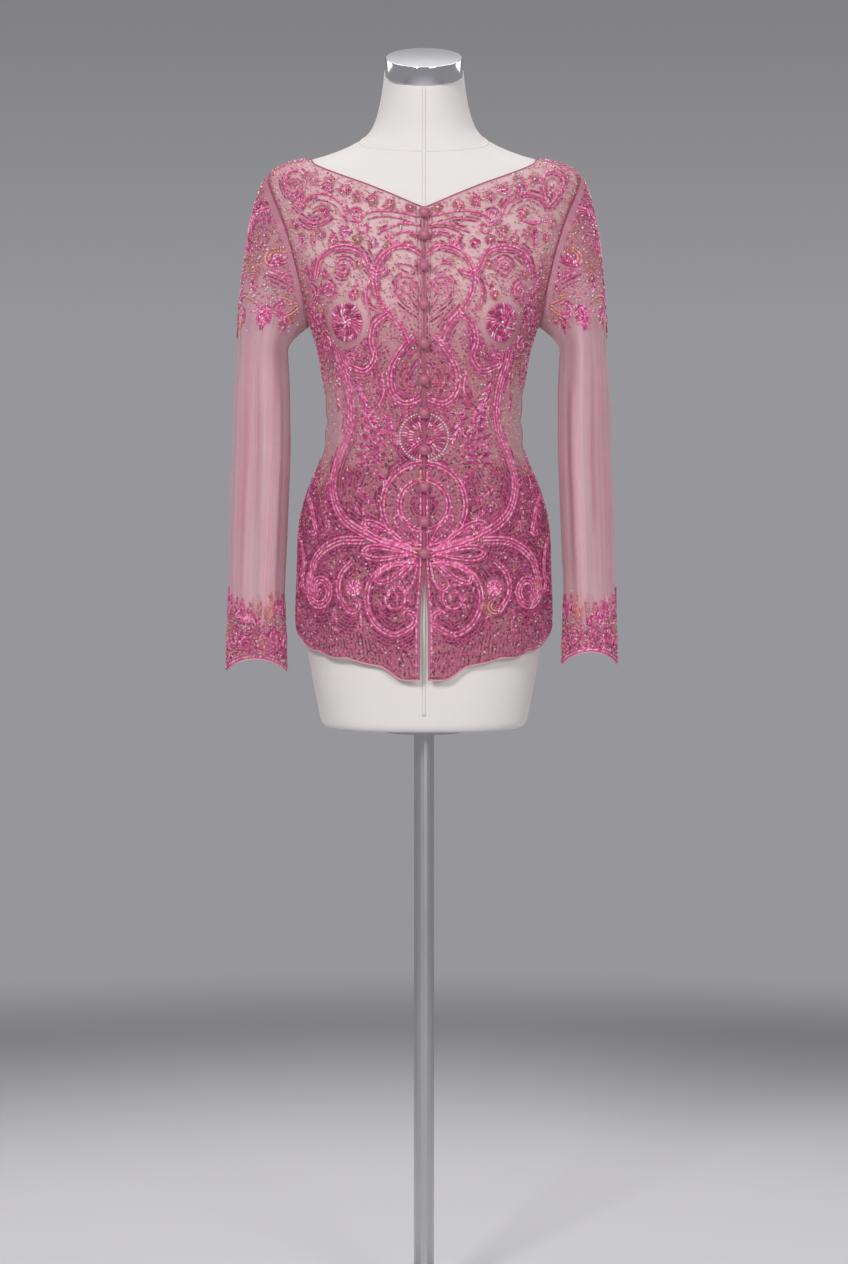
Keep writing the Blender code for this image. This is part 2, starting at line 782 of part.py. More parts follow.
def main():
    """Clears the scene and builds every piece."""
    for old in list(bpy.data.objects):
        bpy.data.objects.remove(old)
    net = material("beaded_net", (0.66, 0.24, 0.42), 0.55)
    satin = material("covered_satin", (0.55, 0.22, 0.33), 0.45)
    linen = material("form_linen", (0.80, 0.78, 0.75), 0.85)
    chrome = material("cap_chrome", (0.75, 0.76, 0.78), 0.12, metallic=1.0)
    steel = material("stand_steel", (0.72, 0.73, 0.75), 0.28, metallic=1.0)
    build_form(linen)
    build_cap(chrome)
    build_stand(steel)
    left, _ = build_fronts(net)
    build_back(net)
    build_sleeves(net)
    bpy.context.view_layer.update()
    for number, height in enumerate(BUTTON_HEIGHTS, start=1):
        seat = seat_on(left, height)
        build_button(f"button_{number:02d}", seat, satin)
        build_loop(f"loop_{number:02d}", seat, satin)


main()
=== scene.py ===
"""A kebaya blouse of beaded net on a limbless dress form.

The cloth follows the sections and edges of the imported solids, in finer steps. Beads are laid along lines on a
flat chart of each panel, in millimetres, and are then lifted on to the cloth.
"""

from __future__ import annotations

import logging
import math
from dataclasses import dataclass
from enum import Enum
from typing import Callable, Iterable, NamedTuple, Sequence

import bmesh
import bpy
import numpy as np
from bpy.types import Material, Mesh, Node, NodeTree, Object
from bpy.types import NodeSocket as Socket
from mathutils import Matrix, Vector

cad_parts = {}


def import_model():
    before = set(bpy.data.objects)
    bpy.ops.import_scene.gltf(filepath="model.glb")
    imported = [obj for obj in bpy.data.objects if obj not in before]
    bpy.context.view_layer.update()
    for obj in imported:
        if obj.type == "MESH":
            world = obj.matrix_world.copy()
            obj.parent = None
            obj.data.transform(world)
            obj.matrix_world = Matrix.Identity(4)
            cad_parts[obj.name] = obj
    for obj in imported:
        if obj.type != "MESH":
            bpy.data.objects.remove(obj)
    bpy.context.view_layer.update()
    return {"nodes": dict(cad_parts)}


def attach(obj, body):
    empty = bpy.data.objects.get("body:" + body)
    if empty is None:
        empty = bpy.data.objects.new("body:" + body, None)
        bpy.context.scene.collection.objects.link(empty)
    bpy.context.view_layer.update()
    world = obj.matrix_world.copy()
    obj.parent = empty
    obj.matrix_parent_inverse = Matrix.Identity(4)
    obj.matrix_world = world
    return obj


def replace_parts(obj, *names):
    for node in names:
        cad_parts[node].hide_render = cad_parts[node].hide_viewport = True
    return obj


LOG = logging.getLogger("kebaya")
Array = np.ndarray
Pair = tuple[float, float]
Triple = tuple[float, float, float]
MM = 0.001
TINY = 1e-12
QUARTER = math.pi / 2
FULL = 2 * math.pi

# ---------------------------------------------------------------- tables of the form and the cloth


class Level(NamedTuple):
    """A horizontal section of the form."""

    height: float
    half_width: float
    front: float
    back: float
    power: float


FORM = (
    Level(0.700, 0.122, 0.084, 0.098, 2.20),
    Level(0.760, 0.134, 0.090, 0.107, 2.20),
    Level(0.810, 0.1415, 0.094, 0.112, 2.20),
    Level(0.870, 0.1455, 0.0965, 0.115, 2.20),
    Level(0.905, 0.1462, 0.0970, 0.114, 2.20),
    Level(0.941, 0.1433, 0.0965, 0.108, 2.20),
    Level(0.977, 0.1325, 0.0945, 0.098, 2.20),
    Level(1.013, 0.1150, 0.0905, 0.086, 2.20),
    Level(1.040, 0.1050, 0.0878, 0.0775, 2.20),
    Level(1.067, 0.1013, 0.0868, 0.0735, 2.20),
    Level(1.094, 0.1045, 0.0888, 0.0750, 2.22),
    Level(1.121, 0.1113, 0.0930, 0.0790, 2.26),
    Level(1.148, 0.1195, 0.0985, 0.0845, 2.30),
    Level(1.175, 0.1298, 0.1015, 0.0895, 2.33),
    Level(1.205, 0.1410, 0.1010, 0.0950, 2.35),
    Level(1.245, 0.1550, 0.0960, 0.0995, 2.35),
    Level(1.285, 0.1675, 0.0880, 0.1005, 2.30),
    Level(1.320, 0.1775, 0.0785, 0.0960, 2.25),
    Level(1.342, 0.1830, 0.0705, 0.0880, 2.20),
    Level(1.354, 0.1840, 0.0655, 0.0820, 2.17),
    Level(1.3625, 0.1795, 0.0620, 0.0775, 2.13),
    Level(1.3695, 0.1690, 0.0595, 0.0735, 2.10),
    Level(1.3740, 0.1530, 0.0580, 0.0700, 2.05),
    Level(1.3785, 0.1355, 0.0570, 0.0668, 2.02),
    Level(1.3840, 0.1165, 0.0562, 0.0630, 2.00),
    Level(1.3920, 0.0948, 0.0558, 0.0585, 2.00),
    Level(1.4015, 0.0765, 0.0560, 0.0540, 2.00),
    Level(1.4115, 0.0650, 0.0572, 0.0500, 2.00),
    Level(1.4240, 0.0585, 0.0595, 0.0455, 2.00),
    Level(1.4420, 0.0532, 0.0630, 0.0375, 2.00),
    Level(1.4660, 0.0492, 0.0662, 0.0270, 2.00),
    Level(1.4848, 0.0468, 0.0683, 0.0189, 2.00),
)


class Ease(NamedTuple):
    """How far the cloth's inner face stands off the form at a height."""

    height: float
    side: float
    front: float
    back: float


FIT = (
    Ease(0.760, 0.0150, 0.0110, 0.0130),
    Ease(0.845, 0.0072, 0.0068, 0.0065),
    Ease(0.905, 0.0036, 0.0038, 0.0036),
    Ease(0.941, 0.0045, 0.0034, 0.0044),
    Ease(0.977, 0.0070, 0.0038, 0.0070),
    Ease(1.013, 0.0098, 0.0048, 0.0095),
    Ease(1.067, 0.0118, 0.0062, 0.0105),
    Ease(1.094, 0.0110, 0.0056, 0.0095),
    Ease(1.121, 0.0085, 0.0038, 0.0075),
    Ease(1.148, 0.0045, 0.0026, 0.0055),
    Ease(1.175, 0.0020, 0.0018, 0.0036),
    Ease(1.205, 0.0014, 0.0014, 0.0020),
    Ease(1.300, 0.0014, 0.0014, 0.0016),
    Ease(1.345, 0.0018, 0.0018, 0.0022),
    Ease(1.400, 0.0018, 0.0018, 0.0022),
)


class RowEnds(NamedTuple):
    """Where a row of the cloth starts on the middle line, for the height at which it ends at the side."""

    side: float
    front: float
    back: float


class HemPoint(NamedTuple):
    """How much of its rise the front hem has made, at a share of the way round to the side."""

    way: float
    rise: float


FRONT_HEM = (
    HemPoint(0.00, 0.00),
    HemPoint(0.10, 0.04),
    HemPoint(0.18, 0.16),
    HemPoint(0.26, 0.25),
    HemPoint(0.36, 0.31),
    HemPoint(0.54, 0.38),
    HemPoint(0.66, 0.44),
    HemPoint(0.80, 0.57),
    HemPoint(1.00, 1.00),
)


class Drag(NamedTuple):
    """A soft ridge or trough in a body panel.

    Its angle from the front is in degrees, its slope in metres a radian, and its reach, half its
    length, in radians.
    """

    angle: float
    height: float
    slope: float
    width: float
    reach: float
    depth: float


BODY_DRAGS = (
    Drag(78, 1.074, 0.014, 0.0050, 0.34, 0.0022),
    Drag(84, 1.050, -0.016, 0.0056, 0.28, 0.0020),
    Drag(97, 1.090, 0.020, 0.0048, 0.30, 0.0018),
    Drag(105, 1.060, 0.008, 0.0060, 0.38, 0.0026),
    Drag(70, 1.030, -0.030, 0.0060, 0.24, 0.0014),
    Drag(62, 1.152, 0.070, 0.0060, 0.16, 0.0011),
    Drag(74, 1.166, 0.090, 0.0050, 0.14, 0.0012),
    Drag(118, 1.150, -0.080, 0.0060, 0.20, 0.0016),
    Drag(132, 1.215, -0.060, 0.0070, 0.20, 0.0014),
    Drag(152, 1.078, 0.006, 0.0070, 0.32, 0.0018),
    Drag(146, 1.052, -0.012, 0.0060, 0.26, 0.0014),
)


class Section(NamedTuple):
    """A horizontal section of the hanging sleeve."""

    height: float
    out: float
    forward: float
    half_width: float
    half_depth: float


SLEEVE = (
    Section(1.150, 0.1912, 0.002, 0.0288, 0.0560),
    Section(1.100, 0.1918, 0.004, 0.0318, 0.0505),
    Section(1.040, 0.1922, 0.006, 0.0321, 0.0460),
    Section(0.980, 0.1947, 0.008, 0.0326, 0.0425),
    Section(0.920, 0.1968, 0.010, 0.0323, 0.0395),
    Section(0.860, 0.1988, 0.012, 0.0318, 0.0365),
    Section(0.800, 0.1990, 0.013, 0.0334, 0.0350),
    Section(0.770, 0.1990, 0.013, 0.0342, 0.0345),
)


class Fold(NamedTuple):
    """A soft ridge or trough down a sleeve.

    Its angle from the outer side by the front, its half width and its twist are in degrees. It shows
    between two shares of the way down.
    """

    angle: float
    depth: float
    width: float
    twist: float
    first: float = -1.0
    last: float = 2.0


SLEEVE_FOLDS = (
    Fold(34, 0.0022, 13, -8),
    Fold(66, -0.0020, 15, -6),
    Fold(104, 0.0018, 12, 8),
    Fold(146, -0.0030, 16, 5),
    Fold(214, 0.0020, 15, 6),
    Fold(262, -0.0022, 18, -6),
    Fold(318, 0.0018, 16, 8),
    Fold(20, 0.0015, 6, 4, 0.02, 0.80),
    Fold(52, -0.0014, 6, -10, 0.15, 0.95),
    Fold(84, 0.0014, 6, 12, -0.05, 0.62),
    Fold(122, 0.0018, 7, -6, 0.08, 0.92),
    Fold(168, 0.0013, 7, 6, 0.15, 0.85),
    Fold(236, 0.0015, 8, 10, 0.05, 0.75),
    Fold(290, -0.0014, 8, -8, 0.20, 0.90),
    Fold(340, 0.0014, 7, 6, 0.08, 0.72),
)


# ---------------------------------------------------------------- shapes


class Track:
    """A smooth curve through a table's rows, with no overshoot."""

    def __init__(self, keys: Sequence[float], values: Sequence[float]) -> None:
        """Fits the curve.

        Args:
            keys: the places.
            values: the value at each place.
        """
        order = np.argsort(keys)
        self.keys = np.asarray(keys, float)[order]
        self.values = np.asarray(values, float)[order]
        slopes = np.diff(self.values) / np.diff(self.keys)
        before, after = slopes[:-1], slopes[1:]
        same = before * after > 0
        inner = np.where(same, 2 * before * after / np.where(same, before + after, 1.0), 0.0)
        self.tangents = np.concatenate(([slopes[0]], inner, [slopes[-1]]))

    def __call__(self, at: Array | float) -> Array:
        """Reads the curve.

        Args:
            at: places, which are held between the first and the last key.

        Returns:
            The value at each place.
        """
        at = np.clip(np.asarray(at, float), self.keys[0], self.keys[-1])
        i = np.clip(np.searchsorted(self.keys, at, side="right") - 1, 0, len(self.keys) - 2)
        span = self.keys[i + 1] - self.keys[i]
        t = (at - self.keys[i]) / span
        rise = self.values[i + 1] - self.values[i]
        start, end = self.tangents[i] * span, self.tangents[i + 1] * span
        bend = t * t * (3 * rise - 2 * start - end)
        return self.values[i] + t * start + bend + t**3 * (start + end - 2 * rise)


def tracks(table: Sequence[NamedTuple]) -> dict[str, Track]:
    """Fits a curve to each column of a table.

    Args:
        table: its rows, whose first column is the place.

    Returns:
        The curves by the names of their columns.
    """
    key, *others = table[0]._fields
    places = [getattr(row, key) for row in table]
    return {name: Track(places, [getattr(row, name) for row in table]) for name in others}


def unit(vectors: Array) -> Array:
    """Returns the vectors, each one long."""
    return vectors / np.maximum(np.linalg.norm(vectors, axis=-1, keepdims=True), TINY)


def polar(turn: Array | float) -> Array:
    """Returns the flat directions at angles."""
    return np.stack((np.cos(turn), np.sin(turn)), -1)


def left_of(path: Array) -> Array:
    """Returns the direction to the left of a flat line at each of its points."""
    along = unit(np.gradient(path, axis=0))
    return np.stack((-along[:, 1], along[:, 0]), -1)


def together(first: Array | float, second: Array | float) -> list[Array]:
    """Returns two arrays, each spread to the shape of both."""
    return np.broadcast_arrays(np.asarray(first, float), np.asarray(second, float))


def entry(steps: Array, at: Array) -> Array:
    """Returns where values lie in an evenly spaced list, as entry numbers with a fraction."""
    return (at - steps[0]) / (steps[1] - steps[0])


class Facing(Enum):
    """Which half of the body a panel covers."""

    FRONT = "front"
    BACK = "back"


@dataclass
class BodyShape:
    """The form's surface and the fitted cloth over it. Heights and lengths are in metres."""

    cloth_thick: float = 0.0012
    seam: float = 0.0002
    bust_height: float = 1.198
    bust_apart: float = 0.072
    bust_rise: float = 0.011
    bust_spread: Pair = (0.044, 0.040)
    bust_bridge: float = 0.085
    hem_middle: float = 0.764
    hem_side: float = 0.842
    hem_back: float = 0.838
    hem_scallop: float = 0.0028
    hem_scallops: int = 5
    hem_flute: float = 0.0022
    hem_flutes: int = 9
    hem_fade_rows: int = 6
    hem_free: float = 0.900
    hem_free_run: float = 0.110
    row_bow: float = 1.5
    underarm: float = 1.183
    shoulder_tip: float = 1.3615
    neck_point: float = 1.3780
    neck_front: float = 1.3172
    neck_back: float = 1.346
    armhole_front: float = math.radians(21)
    armhole_back: float = math.radians(23)
    opening_half: float = 0.0005
    opening_wide: float = 0.0055
    opening_start: float = 0.908
    opening_run: float = 0.085
    probe: float = 0.0002
    front_columns: int = 16
    side_rows: int = 14
    armhole_rows: int = 10
    shoulder_rows: int = 3

    def __post_init__(self) -> None:
        """Reads the tables."""
        ends = (
            RowEnds(self.hem_side, self.hem_middle, self.hem_back),
            RowEnds(self.underarm, 1.150, 1.172),
            RowEnds(self.shoulder_tip, 1.297, 1.328),
            RowEnds(self.neck_point, self.neck_front, self.neck_back),
        )
        self.level = tracks(FORM)
        self.fit = tracks(FIT)
        self.starts = tracks(ends)
        self.hem_rise = tracks(FRONT_HEM)["rise"]

    @property
    def rows(self) -> int:
        """How many rows of the solids a panel has."""
        return self.side_rows + self.armhole_rows + self.shoulder_rows

    def bust(self, x: Array, height: Array, bridge: float) -> Array:
        """Finds how far the cups push the surface forward.

        Args:
            x: distance from the middle plane.
            height: world height.
            bridge: how softly the cups join over the middle.

        Returns:
            The push at each place.
        """
        wide, tall = self.bust_spread
        across = (np.abs(x) - self.bust_apart) / np.where(np.abs(x) < self.bust_apart, bridge, wide)
        along = (height - self.bust_height) / tall
        return self.bust_rise * np.exp(-0.5 * (across**2 + along**2))

    def form(self, angle: Array, height: Array, bridge: float) -> Array:
        """Finds points of the form.

        Args:
            angle: 0 in front, a quarter turn on the +X side, half a turn behind.
            height: world height.
            bridge: how softly the cups join over the middle.

        Returns:
            Points, with x, y and z in the last axis.
        """
        share = 2 / self.level["power"](height)
        s, c = np.sin(angle), np.cos(angle)
        x = np.sign(s) * self.level["half_width"](height) * np.abs(s) ** share
        ahead = -self.level["front"](height) * np.abs(c) ** share
        ahead = ahead - self.bust(x, height, bridge) * np.clip(3 * c, 0, 1)
        behind = self.level["back"](height) * np.abs(c) ** share
        return np.stack((x, np.where(c >= 0, ahead, behind), height), axis=-1)

    def outward(self, point: Array) -> Array:
        """Finds the outward directions.

        Args:
            point: points of the form under the cloth.

        Returns:
            The directions, each one long.
        """

        def value(place: Array) -> Array:
            """Finds how far out of the section places are.

            Args:
                place: world places.

            Returns:
                1 on the section, more outside it.
            """
            x, y, z = place[..., 0], place[..., 1], place[..., 2]
            power = self.level["power"](z)
            ahead = self.level["front"](z) + self.bust(x, z, self.bust_bridge)
            depth = np.where(y < 0, ahead, self.level["back"](z))
            return np.abs(x / self.level["half_width"](z)) ** power + np.abs(y / depth) ** power

        steps = np.eye(3) * self.probe
        return unit(np.stack([value(point + step) - value(point - step) for step in steps], axis=-1))

    def drags(self, angle: Array, height: Array) -> Array:
        """Finds the rise of the soft drag lines, which are the same on both sides.

        Args:
            angle: angle round the form.
            height: world height.

        Returns:
            The rise at each place.
        """
        rise = np.zeros(np.shape(height))
        around = np.abs((angle + math.pi) % FULL - math.pi)
        for drag in BODY_DRAGS:
            away = around - math.radians(drag.angle)
            across = (height - drag.height - drag.slope * away) / drag.width
            rise = rise + drag.depth * np.exp(-0.5 * across**2 - 0.5 * (away / drag.reach) ** 2)
        return rise

    def cloth(self, angle: Array, height: Array, lift: float | Array = 0.0) -> tuple[Array, Array]:
        """Finds points of the cloth's outer face.

        Args:
            angle: angle round the form.
            height: height on the form.
            lift: distance past the outer face.

        Returns:
            The points and the outward directions there.
        """
        angle, height = together(angle, height)
        base = self.form(angle, height, self.bust_bridge)
        out = self.outward(base)
        side = np.sin(angle) ** 2
        facing = np.where(np.cos(angle) >= 0, self.fit["front"](height), self.fit["back"](height))
        ease = side * self.fit["side"](height) + (1 - side) * facing
        free = np.clip((self.hem_free - height) / self.hem_free_run, 0, 1)
        flute = self.hem_flute * free**2 * np.cos(self.hem_flutes * angle)
        ease = ease + flute + self.drags(angle, height)
        return base + out * (ease + self.cloth_thick + lift)[..., None], out

    def seam_angle(self, height: Array) -> Array:
        """Returns the angle whose point lies just in front of the side seam."""
        return np.arccos((self.seam / self.level["front"](height)) ** (self.level["power"](height) / 2))

    def side_place(self, row: Array, facing: Facing) -> tuple[Array, Array]:
        """Finds where a row ends: at the side seam, the armhole or the shoulder seam.

        Args:
            row: row number, which may fall between the solids' rows.
            facing: front or back.

        Returns:
            Angle and height.
        """
        row = np.asarray(row, float)
        reach = self.armhole_front if facing is Facing.FRONT else self.armhole_back
        turn = math.pi * np.clip((row - self.side_rows) / self.armhole_rows, 0, 1)
        low = self.hem_side + (self.underarm - self.hem_side) * np.clip(row / self.side_rows, 0, 1)
        middle, half = (self.shoulder_tip + self.underarm) / 2, (self.shoulder_tip - self.underarm) / 2
        past = np.clip((row - self.side_rows - self.armhole_rows) / self.shoulder_rows, 0, 1)
        top = self.shoulder_tip + (self.neck_point - self.shoulder_tip) * past
        height = np.where(row < self.side_rows, low, np.where(past > 0, top, middle - half * np.cos(turn)))
        cut = reach * np.maximum(np.sin(turn), 0) ** (self.level["power"](height) / 2)
        return self.seam_angle(height) - cut, height

    def panel(self, row: Array, way: Array, facing: Facing) -> tuple[Array, Array]:
        """Finds places of a panel.

        Args:
            row: row number from the hem up.
            way: 0 on the middle line to 1 at the side.
            facing: front or back.

        Returns:
            Angle round the form and height on it.
        """
        row, way = together(row, way)
        side_angle, side_height = self.side_place(row, facing)
        start = self.starts[facing.value](side_height)
        share = np.clip((side_height - self.underarm) / (self.neck_point - self.underarm), 0, 1)
        fade = np.clip(1 - row / self.hem_fade_rows, 0, 1) ** 2
        curve = 0.0
        if facing is Facing.FRONT:
            curve = (self.hem_rise(way) - way) * (self.hem_side - self.hem_middle)
        lobe = np.abs(np.sin(math.pi * self.hem_scallops * way)) - 0.6
        height = start + (side_height - start) * (1 - (1 - way) ** (1 + self.row_bow * share))
        height = height + fade * (curve - self.hem_scallop * lobe)
        angle = side_angle * way
        return (math.pi - angle if facing is Facing.BACK else angle), height

    def opening_edge(self, height: Array) -> Array:
        """Returns how far a front's edge lies from the middle line, in metres."""
        apart = np.clip((self.opening_start - height) / self.opening_run, 0, 1)
        return self.opening_half + (self.opening_wide - self.opening_half) * apart * apart * (3 - 2 * apart)


@dataclass
class SleeveShape:
    """A sleeve's surface on its own side: a head that leaves the armhole, then a hanging tube."""

    body: BodyShape
    side: int
    width: float
    out: float
    low: float
    turn: float
    full: float = 1.150
    start_gap: float = 0.0004
    cuff_notch: float = 0.017
    cuff_sharp: float = 1.4
    fold_fade: float = 0.12
    fold_end: float = 0.88
    probe: Pair = (0.02, 0.01)

    def __post_init__(self) -> None:
        """Reads the table and lists the heights of a grid of points."""
        self.section = tracks(SLEEVE[::-1])
        self.turns = np.linspace(0, FULL, 97)
        self.heights = np.linspace(self.low - 0.01, self.body.shoulder_tip + 0.012, 340)
        reach = np.linspace(0, 2, 121)
        rise = self.point(self.turns[None, :], reach[:, None])[..., 2]
        self.reaches = np.stack([np.interp(-self.heights, -column, reach) for column in rise.T])
        self.tops = rise[0]

    def armhole(self, turn: Array) -> Array:
        """Finds points of the armhole's edge.

        Args:
            turn: angles round the sleeve.

        Returns:
            Points on the +X side.
        """
        turn = np.mod(turn, FULL)
        ahead = turn <= math.pi
        step = self.body.armhole_rows * np.where(ahead, 1 - turn / math.pi, turn / math.pi - 1)
        front_angle, height = self.body.side_place(self.body.side_rows + step, Facing.FRONT)
        back_angle, _ = self.body.side_place(self.body.side_rows + step, Facing.BACK)
        point, _ = self.body.cloth(np.where(ahead, front_angle, math.pi - back_angle), height)
        return point

    def pushed(self, turn: Array, share: Array) -> Array:
        """Finds how far the folds push the surface out.

        Args:
            turn: angles round the sleeve.
            share: shares of the way down from where it hangs.

        Returns:
            The push at each place.
        """
        fade = np.sqrt(np.clip(np.sin(math.pi * np.minimum(1.0, self.fold_fade + share) ** 0.8), 0, None))
        push = np.zeros(np.shape(turn))
        for fold in SLEEVE_FOLDS:
            middle = fold.angle + self.turn + fold.twist * (share - 0.5)
            away = (np.degrees(turn) - middle + 180) % 360 - 180
            shown = np.clip((share - fold.first) / self.fold_fade, 0, 1)
            shown = shown * np.clip((fold.last - share) / self.fold_fade, 0, 1)
            push = push + fold.depth * shown * np.exp(-0.5 * (away / fold.width) ** 2)
        return push * np.where(share < self.fold_end, fade, 0.0)

    def cuff_edge(self, turn: Array) -> Array:
        """Returns the height of the cuff's edge at angles round the sleeve."""
        return self.low + self.cuff_notch * np.abs(np.sin(turn)) ** self.cuff_sharp

    def tube(self, turn: Array, height: Array, share: Array) -> Array:
        """Finds points of the hanging tube with its folds.

        Args:
            turn: angles round it.
            height: world heights.
            share: shares of the way down from where it hangs.

        Returns:
            Points on the +X side.
        """
        push = self.pushed(turn, share)
        half_width = self.section["half_width"](height) * self.width + push
        half_depth = self.section["half_depth"](height) / self.width + push
        x = self.section["out"](height) + self.out + half_width * np.cos(turn)
        return np.stack((x, -self.section["forward"](height) - half_depth * np.sin(turn), height), axis=-1)

    def point(self, turn: Array, reach: Array) -> Array:
        """Finds points of the sleeve, before it is put on its own side.

        Args:
            turn: angle round it, from the outer side by the front.
            reach: 0 at the armhole, 1 where it starts to hang, 2 at the cuff.

        Returns:
            Points on the +X side.
        """
        turn, reach = together(turn, reach)
        top = (1 + np.cos(turn)) / 2
        leave = unit(np.stack((0.84 + 0.08 * top, -0.30 * np.sin(turn), 0.14 * top - 0.56), axis=-1))
        first = self.armhole(turn) + leave * self.start_gap
        end = self.tube(turn, np.full(turn.shape, self.full), np.zeros(turn.shape))
        long = np.linalg.norm(end - first, axis=-1)
        t = np.clip(reach, 0, 1)[..., None]
        pull = (0.034 + 0.026 * top)[..., None] * leave
        arrive = np.array((0.0, 0.0, -1.0)) * (long * (1.0 + 0.1 * top))[..., None]
        head = first * (2 * t**3 - 3 * t**2 + 1) + end * (3 * t**2 - 2 * t**3)
        head = head + pull * (t**3 - 2 * t**2 + t) + arrive * (t**3 - t**2)
        share = np.clip(reach - 1, 0, 1)
        height = self.full + (self.cuff_edge(turn) - self.full) * share
        return np.where((reach > 1)[..., None], self.tube(turn, height, share), head)

    def cloth(self, turn: Array, reach: Array, lift: float | Array = 0.0) -> tuple[Array, Array]:
        """Finds points past the outer face, on the sleeve's own side.

        Args:
            turn: angle round it.
            reach: 0 at the armhole to 2 at the cuff.
            lift: distance past the outer face.

        Returns:
            The points and the outward directions there.
        """
        turn, reach = together(turn, reach)
        aside, along = self.probe
        around = self.point(turn + aside, reach) - self.point(turn - aside, reach)
        below, above = np.minimum(reach + along, 2), np.maximum(reach - along, 0)
        down = self.point(turn, below) - self.point(turn, above)
        normal = unit(np.cross(around, down))
        point = self.point(turn, reach) + normal * np.asarray(lift)[..., None]
        flip = np.array((self.side, 1.0, 1.0))
        return point * flip, normal * flip

    def reach_at(self, turn: Array, height: Array) -> Array:
        """Returns the reach of the point at each height, at an angle round the sleeve."""
        column = np.mod(turn, FULL) / FULL * (len(self.turns) - 1)
        return bilinear(self.reaches, column, entry(self.heights, height))

    def top_at(self, turn: Array) -> Array:
        """Returns the height of the armhole's edge at an angle round the sleeve."""
        return np.interp(np.mod(turn, FULL), self.turns, self.tops)


def bilinear(table: Array, first: Array, second: Array) -> Array:
    """Reads a table between its rows and columns.

    Args:
        table: its values, by row and column.
        first: row numbers, with a fraction.
        second: column numbers, with a fraction.

    Returns:
        The value at each place.
    """
    i = np.clip(first.astype(int), 0, table.shape[0] - 2)
    j = np.clip(second.astype(int), 0, table.shape[1] - 2)
    flat = first.shape + (1,) * (table.ndim - 2)
    s, t = np.clip(first - i, 0, 1).reshape(flat), np.clip(second - j, 0, 1).reshape(flat)
    low = table[i, j] * (1 - t) + table[i, j + 1] * t
    return low * (1 - s) + (table[i + 1, j] * (1 - t) + table[i + 1, j + 1] * t) * s


# ---------------------------------------------------------------- charts


def gap_inside(spots: Array, outline: Array) -> Array:
    """Measures how far inside a closed outline each spot is.

    Args:
        spots: flat places.
        outline: the outline's corners.

    Returns:
        Distances, below 0 outside.
    """
    batch = 4000
    a, b = outline, np.roll(outline, -1, axis=0)
    edge = b - a
    rise = np.where(edge[:, 1] == 0, TINY, edge[:, 1])
    gaps = np.empty(len(spots))
    for start in range(0, len(spots), batch):
        p = spots[start : start + batch, None]
        t = np.clip(((p - a) * edge).sum(-1) / np.maximum((edge**2).sum(-1), TINY), 0, 1)
        near = np.sqrt((((p - a) - edge * t[..., None]) ** 2).sum(-1)).min(-1)
        cross = (a[:, 1] > p[..., 1]) != (b[:, 1] > p[..., 1])
        x = a[:, 0] + (p[..., 1] - a[:, 1]) * edge[:, 0] / rise
        inside = (cross & (p[..., 0] < x)).sum(-1) % 2 == 1
        gaps[start : start + batch] = np.where(inside, near, -near)
    return gaps


class Chart:
    """A flat map of a panel, in millimetres, with heights up the page."""

    margin: float = 2.0
    step: float = 2.0
    low: Pair = (0.0, 740.0)

    def exact(self, spots: Array) -> tuple[Array, Array, Array]:
        """Finds the cloth at places on the chart.

        Args:
            spots: the places.

        Returns:
            Points on the cloth, outward directions, and distances inside its edges in millimetres.
        """
        raise NotImplementedError

    def survey(self, wide: float, tall: float) -> None:
        """Measures the cloth at close places, so that the rest is read between them.

        Args:
            wide: the chart's width.
            tall: its height.
        """
        across, up = (np.arange(0, size + self.step, self.step) for size in (wide, tall))
        spots = np.stack(np.meshgrid(across, up, indexing="ij"), -1) + self.low
        point, out, inside = self.exact(spots.reshape(-1, 2))
        self.table = np.concatenate((point, out, inside[:, None]), axis=-1).reshape(len(across), len(up), 7)

    def read(self, spots: Array) -> Array:
        """Returns the survey's values at places."""
        cells = (spots - self.low) / self.step
        return bilinear(self.table, cells[:, 0], cells[:, 1])

    def lift(self, spots: Array, height: float | Array) -> tuple[Array, Array]:
        """Lifts places of the chart on to the cloth.

        Args:
            spots: the places.
            height: how far over the cloth, in metres.

        Returns:
            The points and the outward directions there.
        """
        found = self.read(spots)
        out = unit(found[:, 3:6])
        return found[:, :3] + out * height, out

    def keep(self, spots: Array) -> Array:
        """Returns which places lie on the cloth, clear of its edges."""
        return self.read(spots)[:, 6] > self.margin

    def scatter(self, random: np.random.Generator, apart: float) -> Array:
        """Returns places spread evenly over the cloth, about this many millimetres apart."""
        raise NotImplementedError


def spread(points: Array, spots: Array, random: np.random.Generator, apart: float) -> Array:
    """Spreads places evenly over a fine grid.

    Args:
        points: the grid in the world.
        spots: the same grid on the chart.
        random: where chance comes from.
        apart: distance between places in millimetres.

    Returns:
        Places on the chart.
    """
    a, b, d = points[:-1, :-1], points[:-1, 1:], points[1:, :-1]
    area = np.linalg.norm(np.cross(b - a, d - a), axis=-1) / (apart * MM) ** 2
    count = np.floor(area + random.uniform(0, 1, area.shape)).astype(int)
    found = []
    for n in range(int(count.max(initial=0))):
        i, j = np.nonzero(count > n)
        s, t = random.uniform(0, 1, (2, len(i), 1))
        low = spots[i, j] * (1 - s) + spots[i, j + 1] * s
        found.append(low * (1 - t) + (spots[i + 1, j] * (1 - s) + spots[i + 1, j + 1] * s) * t)
    return np.concatenate(found)


